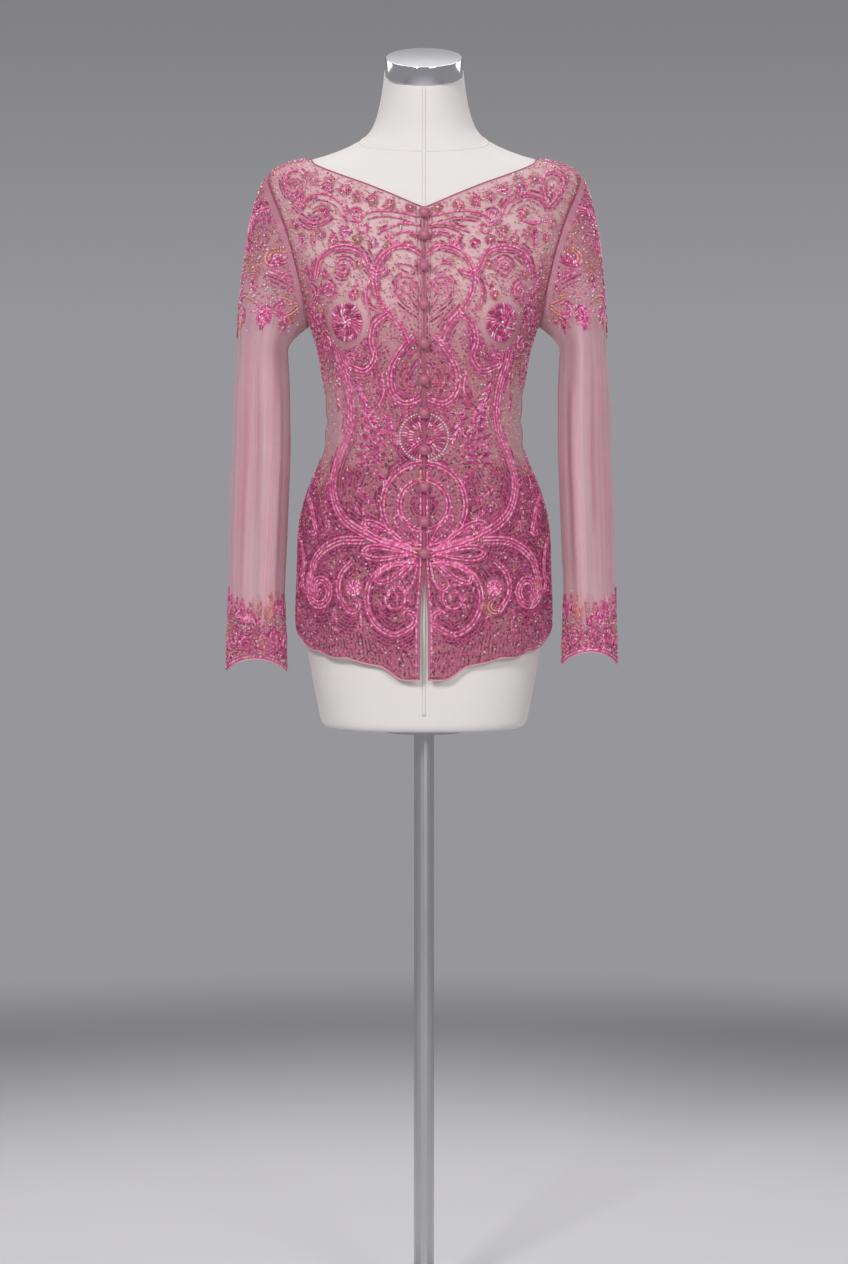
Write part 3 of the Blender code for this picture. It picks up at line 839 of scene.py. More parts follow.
class BodyChart(Chart):
    """A body panel's chart: distance round from the middle line, and height."""

    size: Pair = (250, 640)

    def __init__(self, shape: BodyShape, facing: Facing, sides: tuple[int, ...]) -> None:
        """Measures the panel.

        Args:
            shape: the body's cloth.
            facing: front or back.
            sides: 1 for the +X half, -1 for the other.
        """
        self.shape, self.facing, self.sides = shape, facing, sides
        self.heights = np.linspace(0.74, 1.40, 265)
        self.angles = np.linspace(0, QUARTER * 1.04, 120)
        turned = math.pi - self.angles if facing is Facing.BACK else self.angles
        points, _ = shape.cloth(turned[None, :], self.heights[:, None])
        steps = np.linalg.norm(np.diff(points[..., :2], axis=1), axis=-1)
        start = np.zeros((len(self.heights), 1))
        self.rounds = np.concatenate((start, np.cumsum(steps, axis=1)), axis=1) / MM
        self.spots = np.arange(0, 300.0)
        self.turns = np.stack([np.interp(self.spots, row, self.angles) for row in self.rounds])
        self.outline = self.edge_line()
        self.survey(*self.size)

    def place(self, row: Array, way: Array) -> Array:
        """Finds places of the panel on the chart.

        Args:
            row: row number from the hem up.
            way: 0 on the middle line to 1 at the side.

        Returns:
            The places.
        """
        angle, height = self.shape.panel(row, way, self.facing)
        angle = math.pi - angle if self.facing is Facing.BACK else angle
        round_it = bilinear(self.rounds, entry(self.heights, height), entry(self.angles, angle))
        return np.stack((round_it, height / MM), axis=-1)

    def edge_line(self) -> Array:
        """Finds the outline of half the panel. A back's reaches past its middle line, which is no edge.

        Returns:
            The places round it, on the chart.
        """
        ways, rows = np.linspace(0, 1, 70), np.linspace(0, self.shape.rows, 110)
        hem, top = self.place(0, ways), self.place(self.shape.rows, ways[::-1])
        side, middle = self.place(rows, 1), self.place(rows[::-1], 0)
        if self.facing is Facing.FRONT:
            middle[:, 0] += self.shape.opening_edge(middle[:, 1] * MM) / MM
        else:
            middle[:, 0] -= 8
        return np.concatenate((hem, side[1:], top[1:], middle[1:-1]))

    def exact(self, spots: Array) -> tuple[Array, Array, Array]:
        """Finds the cloth at places on the chart.

        Args:
            spots: places on the chart.

        Returns:
            Points on the cloth, outward directions, and distances inside its edges.
        """
        angle = bilinear(self.turns, entry(self.heights, spots[:, 1] * MM), spots[:, 0])
        angle = math.pi - angle if self.facing is Facing.BACK else angle
        point, out = self.shape.cloth(angle, spots[:, 1] * MM)
        return point, out, gap_inside(spots, self.outline)

    def lift(self, spots: Array, height: float | Array) -> tuple[Array, Array]:
        """Finds points over the cloth, on either half.

        Args:
            spots: places on the chart.
            height: distance past the cloth.

        Returns:
            The points and the outward directions there.
        """
        flip = np.where(spots[:, :1] < 0, (-1.0, 1.0, 1.0), (1.0, 1.0, 1.0))
        point, out = super().lift(np.abs(spots), height)
        return point * flip, out * flip

    def keep(self, spots: Array) -> Array:
        """Returns which places lie on the cloth, clear of its edges."""
        return np.isin(np.where(spots[:, 0] < 0, -1, 1), self.sides) & super().keep(np.abs(spots))

    def scatter(self, random: np.random.Generator, apart: float) -> Array:
        """Spreads places evenly over the cloth.

        Args:
            random: the random numbers.
            apart: about how many millimetres lie between them.

        Returns:
            The places.
        """
        rows, ways = np.linspace(0, self.shape.rows, 190), np.linspace(0, 1, 70)
        spots = self.place(rows[:, None], ways[None, :])
        angle, height = self.shape.panel(rows[:, None], ways[None, :], self.facing)
        points, _ = self.shape.cloth(angle, height)
        return np.concatenate([spread(points, spots, random, apart) * (side, 1) for side in self.sides])


class SleeveChart(Chart):
    """A sleeve's chart: distance round from the outer side by the front, on a mean radius, and height."""

    radius: float = 42.0
    tall: float = 640.0
    strip: float = 7.0
    strip_share: float = 0.8

    def __init__(self, shape: SleeveShape) -> None:
        """Measures the sleeve."""
        self.shape = shape
        self.survey(FULL * self.radius, self.tall)

    def read(self, spots: Array) -> Array:
        """Returns the survey's values at places."""
        return super().read(np.stack((spots[:, 0] % (FULL * self.radius), spots[:, 1]), -1))

    def exact(self, spots: Array) -> tuple[Array, Array, Array]:
        """Finds the cloth at places on the chart.

        Args:
            spots: places on the chart.

        Returns:
            Points on the cloth, outward directions, and distances inside its edges.
        """
        turn = spots[:, 0] / self.radius
        point, out = self.shape.cloth(turn, self.shape.reach_at(turn, spots[:, 1] * MM))
        low = self.shape.cuff_edge(turn)
        high = self.shape.top_at(turn) - self.strip * MM * self.strip_share
        return point, out, np.minimum(spots[:, 1] - low / MM, high / MM - spots[:, 1])

    def scatter(self, random: np.random.Generator, apart: float) -> Array:
        """Spreads places evenly over the cloth.

        Args:
            random: the random numbers.
            apart: about how many millimetres lie between them.

        Returns:
            The places.
        """
        turns, reach = np.linspace(0, FULL, 100), np.linspace(0.02, 2, 200)
        points, _ = self.shape.cloth(turns[None, :], reach[:, None])
        spots = np.stack(together(turns * self.radius, points[..., 2] / MM), axis=-1)
        return spread(points, spots, random, apart)


# ---------------------------------------------------------------- meshes


def dress(piece: Object) -> None:
    """Lets a piece ride on the one body and reports it.

    Args:
        piece: the finished piece.
    """
    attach(piece, "root")
    LOG.info("%s has %d faces", piece.name, len(piece.data.polygons))


def add_piece(name: str, mesh: Mesh, finish: Material) -> Object:
    """Puts a mesh in the scene as a piece that rides on the one body.

    Args:
        name: the piece's name.
        mesh: its mesh, in world places.
        finish: its material.

    Returns:
        The new object.
    """
    piece = bpy.data.objects.new(name, mesh)
    bpy.context.scene.collection.objects.link(piece)
    mesh.shade_smooth()
    mesh.materials.append(finish)
    dress(piece)
    return piece


def array_mesh(name: str, points: Array, faces: Array) -> Mesh:
    """Makes a mesh from arrays.

    Args:
        name: the mesh's name.
        points: one row for each vertex.
        faces: one row of vertex numbers for each face, all with the same count of corners.

    Returns:
        The mesh.
    """
    mesh = bpy.data.meshes.new(name)
    mesh.vertices.add(len(points))
    mesh.vertices.foreach_set("co", np.ascontiguousarray(points, np.float32).ravel())
    mesh.loops.add(faces.size)
    mesh.loops.foreach_set("vertex_index", np.ascontiguousarray(faces, np.int32).ravel())
    mesh.polygons.add(len(faces))
    mesh.polygons.foreach_set("loop_start", np.arange(0, faces.size, faces.shape[1], dtype=np.int32))
    mesh.update(calc_edges=True)
    return mesh


def grid_faces(rows: int, columns: int, closed: bool) -> Array:
    """Makes the quads of a grid of points.

    Args:
        rows: how many rows it has.
        columns: how many points a row has.
        closed: whether the rows are rings.

    Returns:
        One row of vertex numbers for each quad.
    """
    r, c = np.meshgrid(np.arange(rows - 1), np.arange(columns if closed else columns - 1), indexing="ij")
    low, right = r * columns, (c + 1) % columns
    high = low + columns
    return np.stack((low + c, low + right, high + right, high + c), -1).reshape(-1, 4)


def face_outwards(mesh: Mesh) -> Mesh:
    """Turns every face of closed shapes outwards.

    Args:
        mesh: the shapes.

    Returns:
        The same mesh.
    """
    bm = bmesh.new()
    bm.from_mesh(mesh)
    bmesh.ops.recalc_face_normals(bm, faces=bm.faces)
    bm.to_mesh(mesh)
    bm.free()
    return mesh


def shell_mesh(
    name: str, outer: Array, inner: Array, chart: Array, closed: bool, backing_and_fold_shade: Array
) -> Mesh:
    """Makes a thin closed shell between two grids of points.

    Args:
        name: the mesh's name.
        outer: grid of outer points.
        inner: grid of inner points.
        chart: grid of flat places in metres, kept as the UV map that the weave reads.
        closed: whether the rows are rings, with the last point on the first.
        backing_and_fold_shade: grid of how thickly the cloth is backed with thread, with painted shade on the
            flanks of a sleeve's folds, which the finish reads.

    Returns:
        The mesh.
    """
    rows, columns = outer.shape[0], outer.shape[1] - int(closed)
    count = rows * columns
    face = grid_faces(rows, columns, closed)
    ring = np.arange(columns if closed else columns - 1)
    right = (ring + 1) % columns
    last = (rows - 1) * columns
    quads = [
        face,
        face[:, ::-1] + count,
        np.stack((right, ring, ring + count, right + count), -1),
        np.stack((last + ring, last + right, last + right + count, last + ring + count), -1),
    ]
    if not closed:
        low = np.arange(rows - 1) * columns
        high, end = low + columns, columns - 1
        quads.append(np.stack((low, high, high + count, low + count), -1))
        quads.append(np.stack((high + end, low + end, low + end + count, high + end + count), -1))
    points = np.concatenate((outer[:, :columns].reshape(-1, 3), inner[:, :columns].reshape(-1, 3)))
    faces = np.concatenate(quads)
    mesh = array_mesh(name, points, faces)
    row, column = faces % count // columns, faces % count % columns
    flat = chart[row, column]
    if closed:
        wraps = (column.max(axis=1, keepdims=True) == columns - 1) & (column == 0)
        flat = np.where(wraps[..., None], chart[row, -1], flat)
    layer = mesh.uv_layers.new(name="weave")
    layer.data.foreach_set("uv", flat.astype(np.float32).ravel())
    layer = mesh.attributes.new("backing_and_fold_shade", "FLOAT", "POINT")
    layer.data.foreach_set("value", np.tile(backing_and_fold_shade[:, :columns].ravel(), 2).astype(np.float32))
    return face_outwards(mesh)


class Joined:
    """Collects many small shapes of four-cornered faces into one mesh."""

    def __init__(self) -> None:
        """Starts empty."""
        self.points: list[Array] = []
        self.faces: list[Array] = []
        self.count = 0

    def add(self, points: Array, faces: Array) -> None:
        """Adds a shape.

        Args:
            points: its vertices.
            faces: its quads, numbered from its own first vertex.
        """
        self.points.append(points)
        self.faces.append(faces + self.count)
        self.count += len(points)

    def ribbon(
        self, path: Array, normal: Array, width: float, thick: float, sides: int = 6, ring: bool = False
    ) -> None:
        """Adds a flat cord.

        Args:
            path: its middle line.
            normal: outward direction at each point.
            width: its width over the cloth.
            thick: its thickness.
            sides: an even count of corners in its section.
            ring: whether it closes on itself, with the last point on the first.
        """
        along = np.gradient(path, axis=0)
        if ring:
            along[0] = along[-1] = path[1] - path[-2]
        along = unit(along)
        across = unit(np.cross(normal, along))
        up = np.cross(along, across)
        turn = (FULL * (np.arange(sides) + 0.5) / sides)[:, None, None]
        section = np.cos(turn) * across * width / 2 + np.sin(turn) * up * thick / 2
        rings = (path + section).transpose(1, 0, 2)
        if ring:
            count = (len(path) - 1) * sides
            self.add(rings[:-1].reshape(-1, 3), grid_faces(len(path), sides, True) % count)
            return
        faces = [grid_faces(len(path), sides, True)]
        for i in range(sides // 2 - 1):
            cap = np.array([[i, i + 1, sides - 2 - i, sides - 1 - i]])
            faces += [cap[:, ::-1], cap + (len(path) - 1) * sides]
        self.add(rings.reshape(-1, 3), np.concatenate(faces))

    def piece(self, name: str, finish: Material, slot: str) -> Object:
        """Makes one piece of all the shapes, turned outwards.

        Args:
            name: the piece's name.
            finish: its material.
            slot: not used.

        Returns:
            The new object.
        """
        mesh = array_mesh(name, np.concatenate(self.points), np.concatenate(self.faces))
        return add_piece(name, face_outwards(mesh), finish)


# ---------------------------------------------------------------- beads


class Bead(Enum):
    """The kinds of bead that are sewn on."""

    BUGLE = "bugles"
    DASH = "dashes"
    SEED = "seeds"
    SEQUIN = "sequins"
    PEARL = "pearls"


class Turned(NamedTuple):
    """A small turned shape: its tips' places, each ring's place and radius, and a ring's corners."""

    tips: Pair
    rings: tuple[Pair, ...]
    sides: int
    upright: bool = False


BEAD_SHAPES = {
    Bead.BUGLE: Turned((-1, 1), ((-0.72, 1), (0.72, 1)), 4),
    Bead.DASH: Turned((-1, 1), ((0, 1),), 4),
    Bead.SEED: Turned((-0.8, 1), ((0.05, 1),), 5, True),
    Bead.SEQUIN: Turned((-0.05, 0.10), ((0, 1),), 6, True),
    Bead.PEARL: Turned((-1, 1), ((-0.7, 0.7), (0, 1), (0.7, 0.7)), 8),
}


def bead_shape(kind: Bead) -> tuple[Array, Array]:
    """Makes one bead of unit size, with X along it and Z away from the cloth.

    Args:
        kind: which bead.

    Returns:
        Points and triangles, turned outwards.
    """
    tips, rings, sides, upright = BEAD_SHAPES[kind]
    turn = FULL * np.arange(sides) / sides
    points = [np.array([(tips[0], 0.0, 0.0)])]
    for x, radius in rings:
        points.append(np.stack((np.full(sides, x), radius * np.cos(turn), radius * np.sin(turn)), -1))
    points.append(np.array([(tips[1], 0.0, 0.0)]))
    faces = []
    last = 1 + len(rings) * sides
    for i in range(sides):
        j = (i + 1) % sides
        faces.append((0, 1 + j, 1 + i))
        for r in range(len(rings) - 1):
            a, b = 1 + r * sides, 1 + (r + 1) * sides
            faces += [(a + i, a + j, b + j), (a + i, b + j, b + i)]
        faces.append((last, last - sides + i, last - sides + j))
    found = np.concatenate(points)
    return (found[:, [2, 1, 0]] * (1, -1, 1) if upright else found), np.array(faces)


class BeadBox:
    """Collects beads of one kind."""

    def __init__(self) -> None:
        """Starts empty."""
        self.rows: list[Array] = []

    def add(
        self, place: Array, along: Array, normal: Array, size: Array | Sequence[float], shade: Array
    ) -> None:
        """Adds beads.

        Args:
            place: middles.
            along: the way each bead lies.
            normal: away from the cloth.
            size: half length, half width and half height in millimetres, for all or for each.
            shade: where each is between the darkest and the palest glass.
        """
        if len(place):
            size = np.broadcast_to(np.asarray(size, float) * MM, (len(place), 3))
            shade = np.broadcast_to(shade, (len(place),))[:, None]
            self.rows.append(np.concatenate((place, unit(along), normal, size, shade), axis=1))

    def mesh(self, kind: Bead, name: str) -> Mesh:
        """Joins all the beads.

        Args:
            kind: which bead they are.
            name: the mesh's name.

        Returns:
            One mesh, which keeps each bead's shade for the finish.
        """
        points, faces = bead_shape(kind)
        rows = np.concatenate(self.rows)
        place, along, normal, size = (rows[:, i : i + 3] for i in (0, 3, 6, 9))
        across = unit(np.cross(normal, along))
        axes = np.stack((along, across, np.cross(along, across)), axis=1)
        corners = place[:, None] + np.einsum("nki,nij->nkj", points[None] * size[:, None], axes)
        numbers = faces[None] + (np.arange(len(rows)) * len(points))[:, None, None]
        mesh = array_mesh(name, corners.reshape(-1, 3), numbers.reshape(-1, 3))
        layer = mesh.attributes.new("shade", "FLOAT", "POINT")
        layer.data.foreach_set("value", np.repeat(rows[:, 12], len(points)).astype(np.float32))
        return mesh


# Shades run from the deepest glass at 0 to the palest pink, then from copper to the clear beads at 1.
PALEST_PINK = 0.65
DEEPEST_COPPER = 0.67
PINKS = (0.2, 0.64)
COPPERS = (0.67, 0.82)


class Style(NamedTuple):
    """How a line of beads is sewn: spacing and half sizes in millimetres, slant in degrees, and shades."""

    kind: Bead
    pitch: float
    size: Triple
    slant: float
    shades: Pair


class Line(Enum):
    """The named ways to sew a line."""

    ROPE = Style(Bead.BUGLE, 2.35, (1.9, 1.25, 1.2), 42, (0.27, 0.61))
    ECHO = Style(Bead.DASH, 2.3, (2.25, 1.25, 1.05), 40, (0.14, 0.54))
    FINE = Style(Bead.DASH, 2.7, (1.95, 1.08, 1.0), 12, (0.12, 0.64))
    SEED = Style(Bead.SEED, 2.0, (1.30, 1.25, 1.15), 0, PINKS)
    COPPER = Style(Bead.SEED, 2.0, (1.30, 1.25, 1.15), 0, (0.66, 0.82))
    PALE = Style(Bead.SEED, 3.4, (1.40, 1.35, 1.25), 0, (0.86, 1.0))


CURL_STEPS = 70
CURL_END = 0.16  # share of its first radius that a curl ends with


class Scroll(NamedTuple):
    """A line through a few places, which may end in a curl of a first radius that winds some degrees."""

    through: tuple[Pair, ...]
    strands: int = 1
    curl: float = 0.0
    winds: float = 0.0
    line: Line = Line.ROPE

    def path(self, offset: float) -> Array:
        """Draws the line.

        Args:
            offset: how far it is moved to its left.

        Returns:
            Close points.
        """
        knots = np.array(self.through, float)
        knots = np.concatenate((2 * knots[:1] - knots[1:2], knots, 2 * knots[-1:] - knots[-2:-1]))
        t = np.linspace(0, 1, 14)[:-1, None]
        found = []
        for a, b, c, d in zip(knots, knots[1:], knots[2:], knots[3:]):
            bend = 2 * a - 5 * b + 4 * c - d + t * (3 * (b - c) + d - a)
            found.append(b + 0.5 * t * (c - a + t * bend))
        points = np.concatenate([*found, knots[-2:-1]])
        if self.curl:
            heading = points[-1] - points[-2]
            start = math.atan2(heading[1], heading[0])
            turn = np.radians(np.linspace(0, self.winds, CURL_STEPS))
            radius = self.curl * np.linspace(1, CURL_END, CURL_STEPS)
            steps = polar(start + turn) * (radius * abs(turn[1]))[:, None]
            points = np.concatenate((points, points[-1] + np.cumsum(steps, axis=0)))
        return points + offset * left_of(points)


class Ring(NamedTuple):
    """An arc or a spiral round a middle, from a first radius to a last one."""

    x: float
    z: float
    first: float
    last: float
    start: float = 0.0
    winds: float = 360.0
    strands: int = 1
    line: Line = Line.ROPE

    def path(self, offset: float) -> Array:
        """Draws the line.

        Args:
            offset: how far it is moved inwards.

        Returns:
            Close points.
        """
        turn = np.radians(self.start + np.linspace(0, self.winds, max(12, int(abs(self.winds) / 5))))
        radius = np.linspace(self.first, self.last, len(turn)) - offset
        return np.stack((self.x + radius * np.cos(turn), self.z + radius * np.sin(turn)), -1)


class Petal(NamedTuple):
    """A closed loop like a long petal, from its root along a heading in degrees."""

    x: float
    z: float
    heading: float
    length: float
    width: float
    strands: int = 1
    line: Line = Line.ROPE

    def path(self, offset: float) -> Array:
        """Draws the loop.

        Args:
            offset: how far it is moved inwards.

        Returns:
            Close points.
        """
        t = np.linspace(0, FULL, 60)
        along = offset * 1.5 + (self.length / 2 - offset * 1.2) * (1 - np.cos(t))
        across = (self.width / 2 - offset) * np.sin(t) * (1 - 0.75 * np.cos(t)) / 1.2
        heading = math.radians(self.heading)
        c, s = math.cos(heading), math.sin(heading)
        return np.stack((self.x + along * c - across * s, self.z + along * s + across * c), -1)


class Rosette(NamedTuple):
    """A flower of straight beads round a pearl."""

    x: float
    z: float
    radius: float
    swirl: float = 20.0


class Spray(NamedTuple):
    """A bent stem with a row of short leaf beads on each side."""

    x: float
    z: float
    heading: float
    length: float
    bend: float = 0.0
    leaf: float = 2.6


class Fan(NamedTuple):
    """Short sprays that spread from one place."""

    x: float
    z: float
    heading: float
    length: float
    count: int = 3
    spread: float = 32.0

    def sprays(self) -> list[Spray]:
        """Parts the fan into sprays.

        Returns:
            Its sprays, the middle ones longest.
        """
        found = []
        for number in range(self.count):
            aside = number - (self.count - 1) / 2
            long = self.length * (1 - 0.22 * abs(aside))
            found.append(Spray(self.x, self.z, self.heading + aside * self.spread, long, -aside * 22, 3.1))
        return found


class Blossom(NamedTuple):
    """A small flower of five clusters of round beads."""

    x: float
    z: float
    radius: float = 6.5
    copper: float = 0.2


class Rays(NamedTuple):
    """Beads that point away from a middle, between two radii."""

    x: float
    z: float
    inner: float
    outer: float
    count: int
    kind: Bead = Bead.BUGLE
    thick: float = 1.12


Motif = Scroll | Ring | Petal | Rosette | Spray | Fan | Blossom | Rays


def ripple(spots: Array, seed: float) -> Array:
    """Finds a smooth uneven value, about evenly spread from 0 to 1.

    Args:
        spots: places on a chart.
        seed: which of many such surfaces to read.

    Returns:
        The value at each place.
    """
    total = np.zeros(len(spots))
    for n in range(6):
        turn, wave = seed + n * 1.05, 5.0 + 2.0 * n
        along = spots[:, 0] * math.cos(turn) + spots[:, 1] * math.sin(turn)
        total += np.sin(along / wave + seed * (n + 2))
    return 1 / (1 + np.exp(-total))


class Ground:
    """Keeps how near the beads already sewn are, on a chart cut into small cells."""

    cell: float = 0.7
    corner: Pair = (-290.0, 730.0)
    cells: tuple[int, int] = (860, 960)

    def __init__(self, around: float, touch: float, near: float) -> None:
        """Starts bare.

        Args:
            around: the chart's width where its sides meet, or 0.
            touch: how near is touching, in millimetres.
            near: how near is near.
        """
        self.around = around
        self.state = np.zeros(self.cells, np.int8)
        self.reach = int(near / self.cell) + 1
        steps = np.arange(-self.reach, self.reach + 1) * self.cell
        far = np.hypot(steps[:, None], steps[None, :])
        self.disc = np.where(far <= touch, 2, np.where(far <= near, 1, 0)).astype(np.int8)

    def cell_of(self, spots: Array) -> Array:
        """Finds the cells of places.

        Args:
            spots: places on the chart.

        Returns:
            Row and column numbers, kept a reach away from the edges.
        """
        across = spots[..., 0] % self.around if self.around else spots[..., 0]
        place = np.stack((across, spots[..., 1]), -1) - self.corner
        return np.clip((place / self.cell).astype(int), self.reach, np.array(self.cells) - self.reach - 1)

    def mark(self, cells: Array) -> None:
        """Marks cells as sewn.

        Args:
            cells: rows of cell numbers.
        """
        r = self.reach
        for i, j in cells:
            part = self.state[i - r : i + r + 1, j - r : j + r + 1]
            np.maximum(part, self.disc, out=part)


def strung(path: Array, over: Array, millimetre: float, first: float, pitch: float) -> Array:
    """Finds even steps along a line.

    Args:
        path: the line on its chart.
        over: the same line where its length is measured.
        millimetre: how long a millimetre is there.
        first: the first step's distance.
        pitch: the distance between steps.

    Returns:
        Places on the chart.
    """
    lengths = np.linalg.norm(np.diff(over, axis=0), axis=-1)
    walked = np.concatenate(([0.0], np.cumsum(lengths))) / millimetre
    at = np.arange(first, walked[-1], pitch)
    return np.stack([np.interp(at, walked, path[:, i]) for i in (0, 1)], -1)


@dataclass
class Sewing:
    """Sews motifs and loose beads on one chart, and keeps them by kind."""

    chart: Chart
    seed: int
    mirrors: tuple[int, ...]
    around: float = 0.0
    copper: float = 0.015
    deepen: float = 0.0
    strand_gap: float = 3.9
    touch: float = 1.9
    near_share: float = 0.82
    hip: float = 1012.0
    rows_above: int = 2
    shortest_run: int = 4
    deep_from: float = 1060.0
    deep_over: float = 40.0
    sink: float = 0.7
    lean: float = 5.0
    tip: float = 0.07
    uneven: float = 0.06
    big_rosette: float = 15.0
    leaf_slant: float = 42.0
    spangle_gap: float = 9.0
    spangle_lift: float = 0.0019
    spangle_size: float = 1.5
    rounds: tuple[tuple[float, float, int], ...] = ((0.08, 0.36, 11), (0.34, 0.70, 22), (0.66, 1.0, 36))

    def __post_init__(self) -> None:
        """Opens a box for each kind of bead."""
        self.random = np.random.default_rng(self.seed)
        self.boxes = {kind: BeadBox() for kind in Bead}
        self.ground = Ground(self.around, self.touch, self.strand_gap * self.near_share)
        self.lines: list[Array] = []

    def put(self, spots: Array, ways: Array, style: Style, shade: Array) -> None:
        """Sews beads at places on the chart.

        Args:
            spots: places.
            ways: the way each line runs there.
            style: the kind of bead, its size and its slant.
            shade: shade of each bead.
        """
        on = self.chart.keep(spots)
        if not on.any():
            return
        spots, ways, shade = spots[on], ways[on], shade[on]
        self.ground.mark(self.ground.cell_of(spots))
        low = np.clip((self.deep_from - spots[:, 1]) / self.deep_over, 0, 1)
        deep = self.deepen * low * (style.kind is not Bead.BUGLE)
        shade = np.where(shade < PALEST_PINK, np.clip(shade - deep, 0, 1), shade)
        patch = (ripple(spots, 4.0) > 1 - self.copper) & (shade < PALEST_PINK + 0.01)
        shade = np.where(patch, DEEPEST_COPPER + 0.2 * shade, shade)
        proud = style.size[2] * MM * self.sink
        point, normal = self.chart.lift(spots, proud)
        ahead, _ = self.chart.lift(spots + unit(ways) * 0.4, proud)
        along = unit(ahead - point)
        across = np.cross(normal, along)
        count = len(point)
        lean = np.radians(style.slant + self.random.normal(0, self.lean, count))[:, None]
        way = along * np.cos(lean) + across * np.sin(lean)
        way = way + normal * self.random.normal(0, self.tip, (count, 1))
        size = np.array(style.size) * self.random.normal(1, self.uneven, (count, 1))
        self.boxes[style.kind].add(point, way, normal, size, shade)

    def string(self, path: Array, line: Line) -> None:
        """Sews a line of beads at even distances over the cloth.

        Args:
            path: the line on the chart.
            line: how it is sewn.
        """
        style: Style = line.value
        point, _ = self.chart.lift(path, 0.0)
        spots = strung(path, point, MM, style.pitch / 2, style.pitch)
        if len(spots) > 1:
            shade = self.random.uniform(*style.shades, len(spots))
            self.put(spots, np.gradient(spots, axis=0), style, shade)

    def sew(self, motifs: Iterable[Motif]) -> None:
        """Sews motifs, and their mirror images where the chart has two halves.

        Args:
            motifs: what to sew.
        """
        for mirror in self.mirrors:
            flip = np.array((mirror, 1.0))
            for motif in motifs:
                if isinstance(motif, (Scroll, Ring, Petal)):
                    for strand in range(motif.strands):
                        path = motif.path(strand * self.strand_gap) * flip
                        self.string(path, motif.line)
                        self.lines.append(path)
                elif isinstance(motif, Rosette):
                    self.rosette(motif, flip)
                elif isinstance(motif, Spray):
                    self.spray(motif, flip)
                elif isinstance(motif, Fan):
                    for spray in motif.sprays():
                        self.spray(spray, flip)
                elif isinstance(motif, Blossom):
                    self.blossom(motif, flip)
                else:
                    self.rays(motif, 0.0, flip)

    def rays(self, motif: Rays, swirl: float, flip: Array) -> None:
        """Sews beads that point away from a middle.

        Args:
            motif: where they are.
            swirl: degrees that each bead is turned by.
            flip: 1 or -1 for the half, and 1.
        """
        turn = FULL * (np.arange(motif.count) + self.random.uniform(0, 1)) / motif.count
        half = (motif.outer - motif.inner) / 2
        spots = np.array((motif.x, motif.z)) + (motif.inner + half) * polar(turn)
        ways = polar(turn + math.radians(swirl))
        style = Style(motif.kind, 0, (half * 1.02, motif.thick, 1.15), 0, (0.16, 0.66))
        self.put(spots * flip, ways * flip, style, self.random.uniform(*style.shades, motif.count))
        self.clear(motif, (motif.inner, motif.inner + half, motif.outer), flip)

    def clear(self, motif: Rays | Rosette, radii: Iterable[float], flip: Array) -> None:
        """Keeps loose beads off rings round a motif's middle.

        Args:
            motif: where the middle is.
            radii: the rings' radii.
            flip: 1 or -1 for the half, and 1.
        """
        round_it = polar(FULL * np.arange(72) / 72)
        for radius in radii:
            ring = np.array((motif.x, motif.z)) + radius * round_it
            self.ground.mark(self.ground.cell_of(ring * flip))

    def pearl(self, spot: Array, radius: float) -> None:
        """Sews one pearl."""
        style = Style(Bead.PEARL, 0, (radius,) * 3, 0, (0.95, 0.95))
        self.put(spot[None], np.array([(1.0, 0.0)]), style, np.array(style.shades[:1]))

    def rosette(self, motif: Rosette, flip: Array) -> None:
        """Sews a flower of straight beads, in three rounds.

        Args:
            motif: where it is, and its size.
            flip: 1 or -1 for the half, and 1.
        """
        size = motif.radius
        for inner, outer, count in self.rounds:
            around = Rays(motif.x, motif.z, inner * size, outer * size, count, thick=1.4)
            self.rays(around, motif.swirl, flip)
        if motif.radius > self.big_rosette:
            self.clear(motif, motif.radius + np.array((1.5, 3.5, 5.5)), flip)
        self.pearl(np.array((motif.x, motif.z)) * flip, max(1.1, motif.radius * 0.07))

    def spray(self, motif: Spray, flip: Array) -> None:
        """Sews a stem and its leaves.

        Args:
            motif: where it is, and its size.
            flip: 1 or -1 for the half, and 1.
        """
        steps = max(3, int(motif.length / 3.0))
        t = np.linspace(0, 1, steps)
        heading = np.radians(motif.heading + motif.bend * t)
        root = np.array((motif.x, motif.z))
        path = root + np.cumsum(polar(heading) * motif.length / steps, axis=0)
        self.string(np.concatenate((root[None], path)) * flip, Line.FINE)
        style = Style(Bead.BUGLE, 0, (motif.leaf * 0.76, 0.95, 0.95), 0, (0.1, 0.64))
        reach = motif.leaf * (1.05 - 0.45 * t)
        for side in (-1, 1):
            ways = polar(heading + side * math.radians(self.leaf_slant))
            spots = path + ways * reach[:, None]
            self.put(spots * flip, ways * flip, style, self.random.uniform(*style.shades, steps))

    def blossom(self, motif: Blossom, flip: Array) -> None:
        """Sews a small flower: five clusters of round beads and a pale one in the middle.

        Args:
            motif: where it is, and its size.
            flip: 1 or -1 for the half, and 1.
        """
        heart = np.array((motif.x, motif.z))
        way = np.array([(1.0, 0.0)])
        start = self.random.uniform(0, FULL)
        for petal in range(5):
            turn = start + FULL * petal / 5
            middle = heart + 0.60 * motif.radius * np.array((math.cos(turn), math.sin(turn)))
            ring = middle + 0.36 * motif.radius * polar(turn + FULL * np.arange(6) / 6)
            spots = np.concatenate((ring, middle[None])) * flip
            copper = self.random.uniform(0, 1) < motif.copper
            shade = self.random.uniform(*(COPPERS if copper else PINKS), len(spots))
            self.put(spots, np.tile(way, (len(spots), 1)), Line.SEED.value, shade)
        self.put((heart * flip)[None], way, Line.PALE.value, np.array([0.9]))

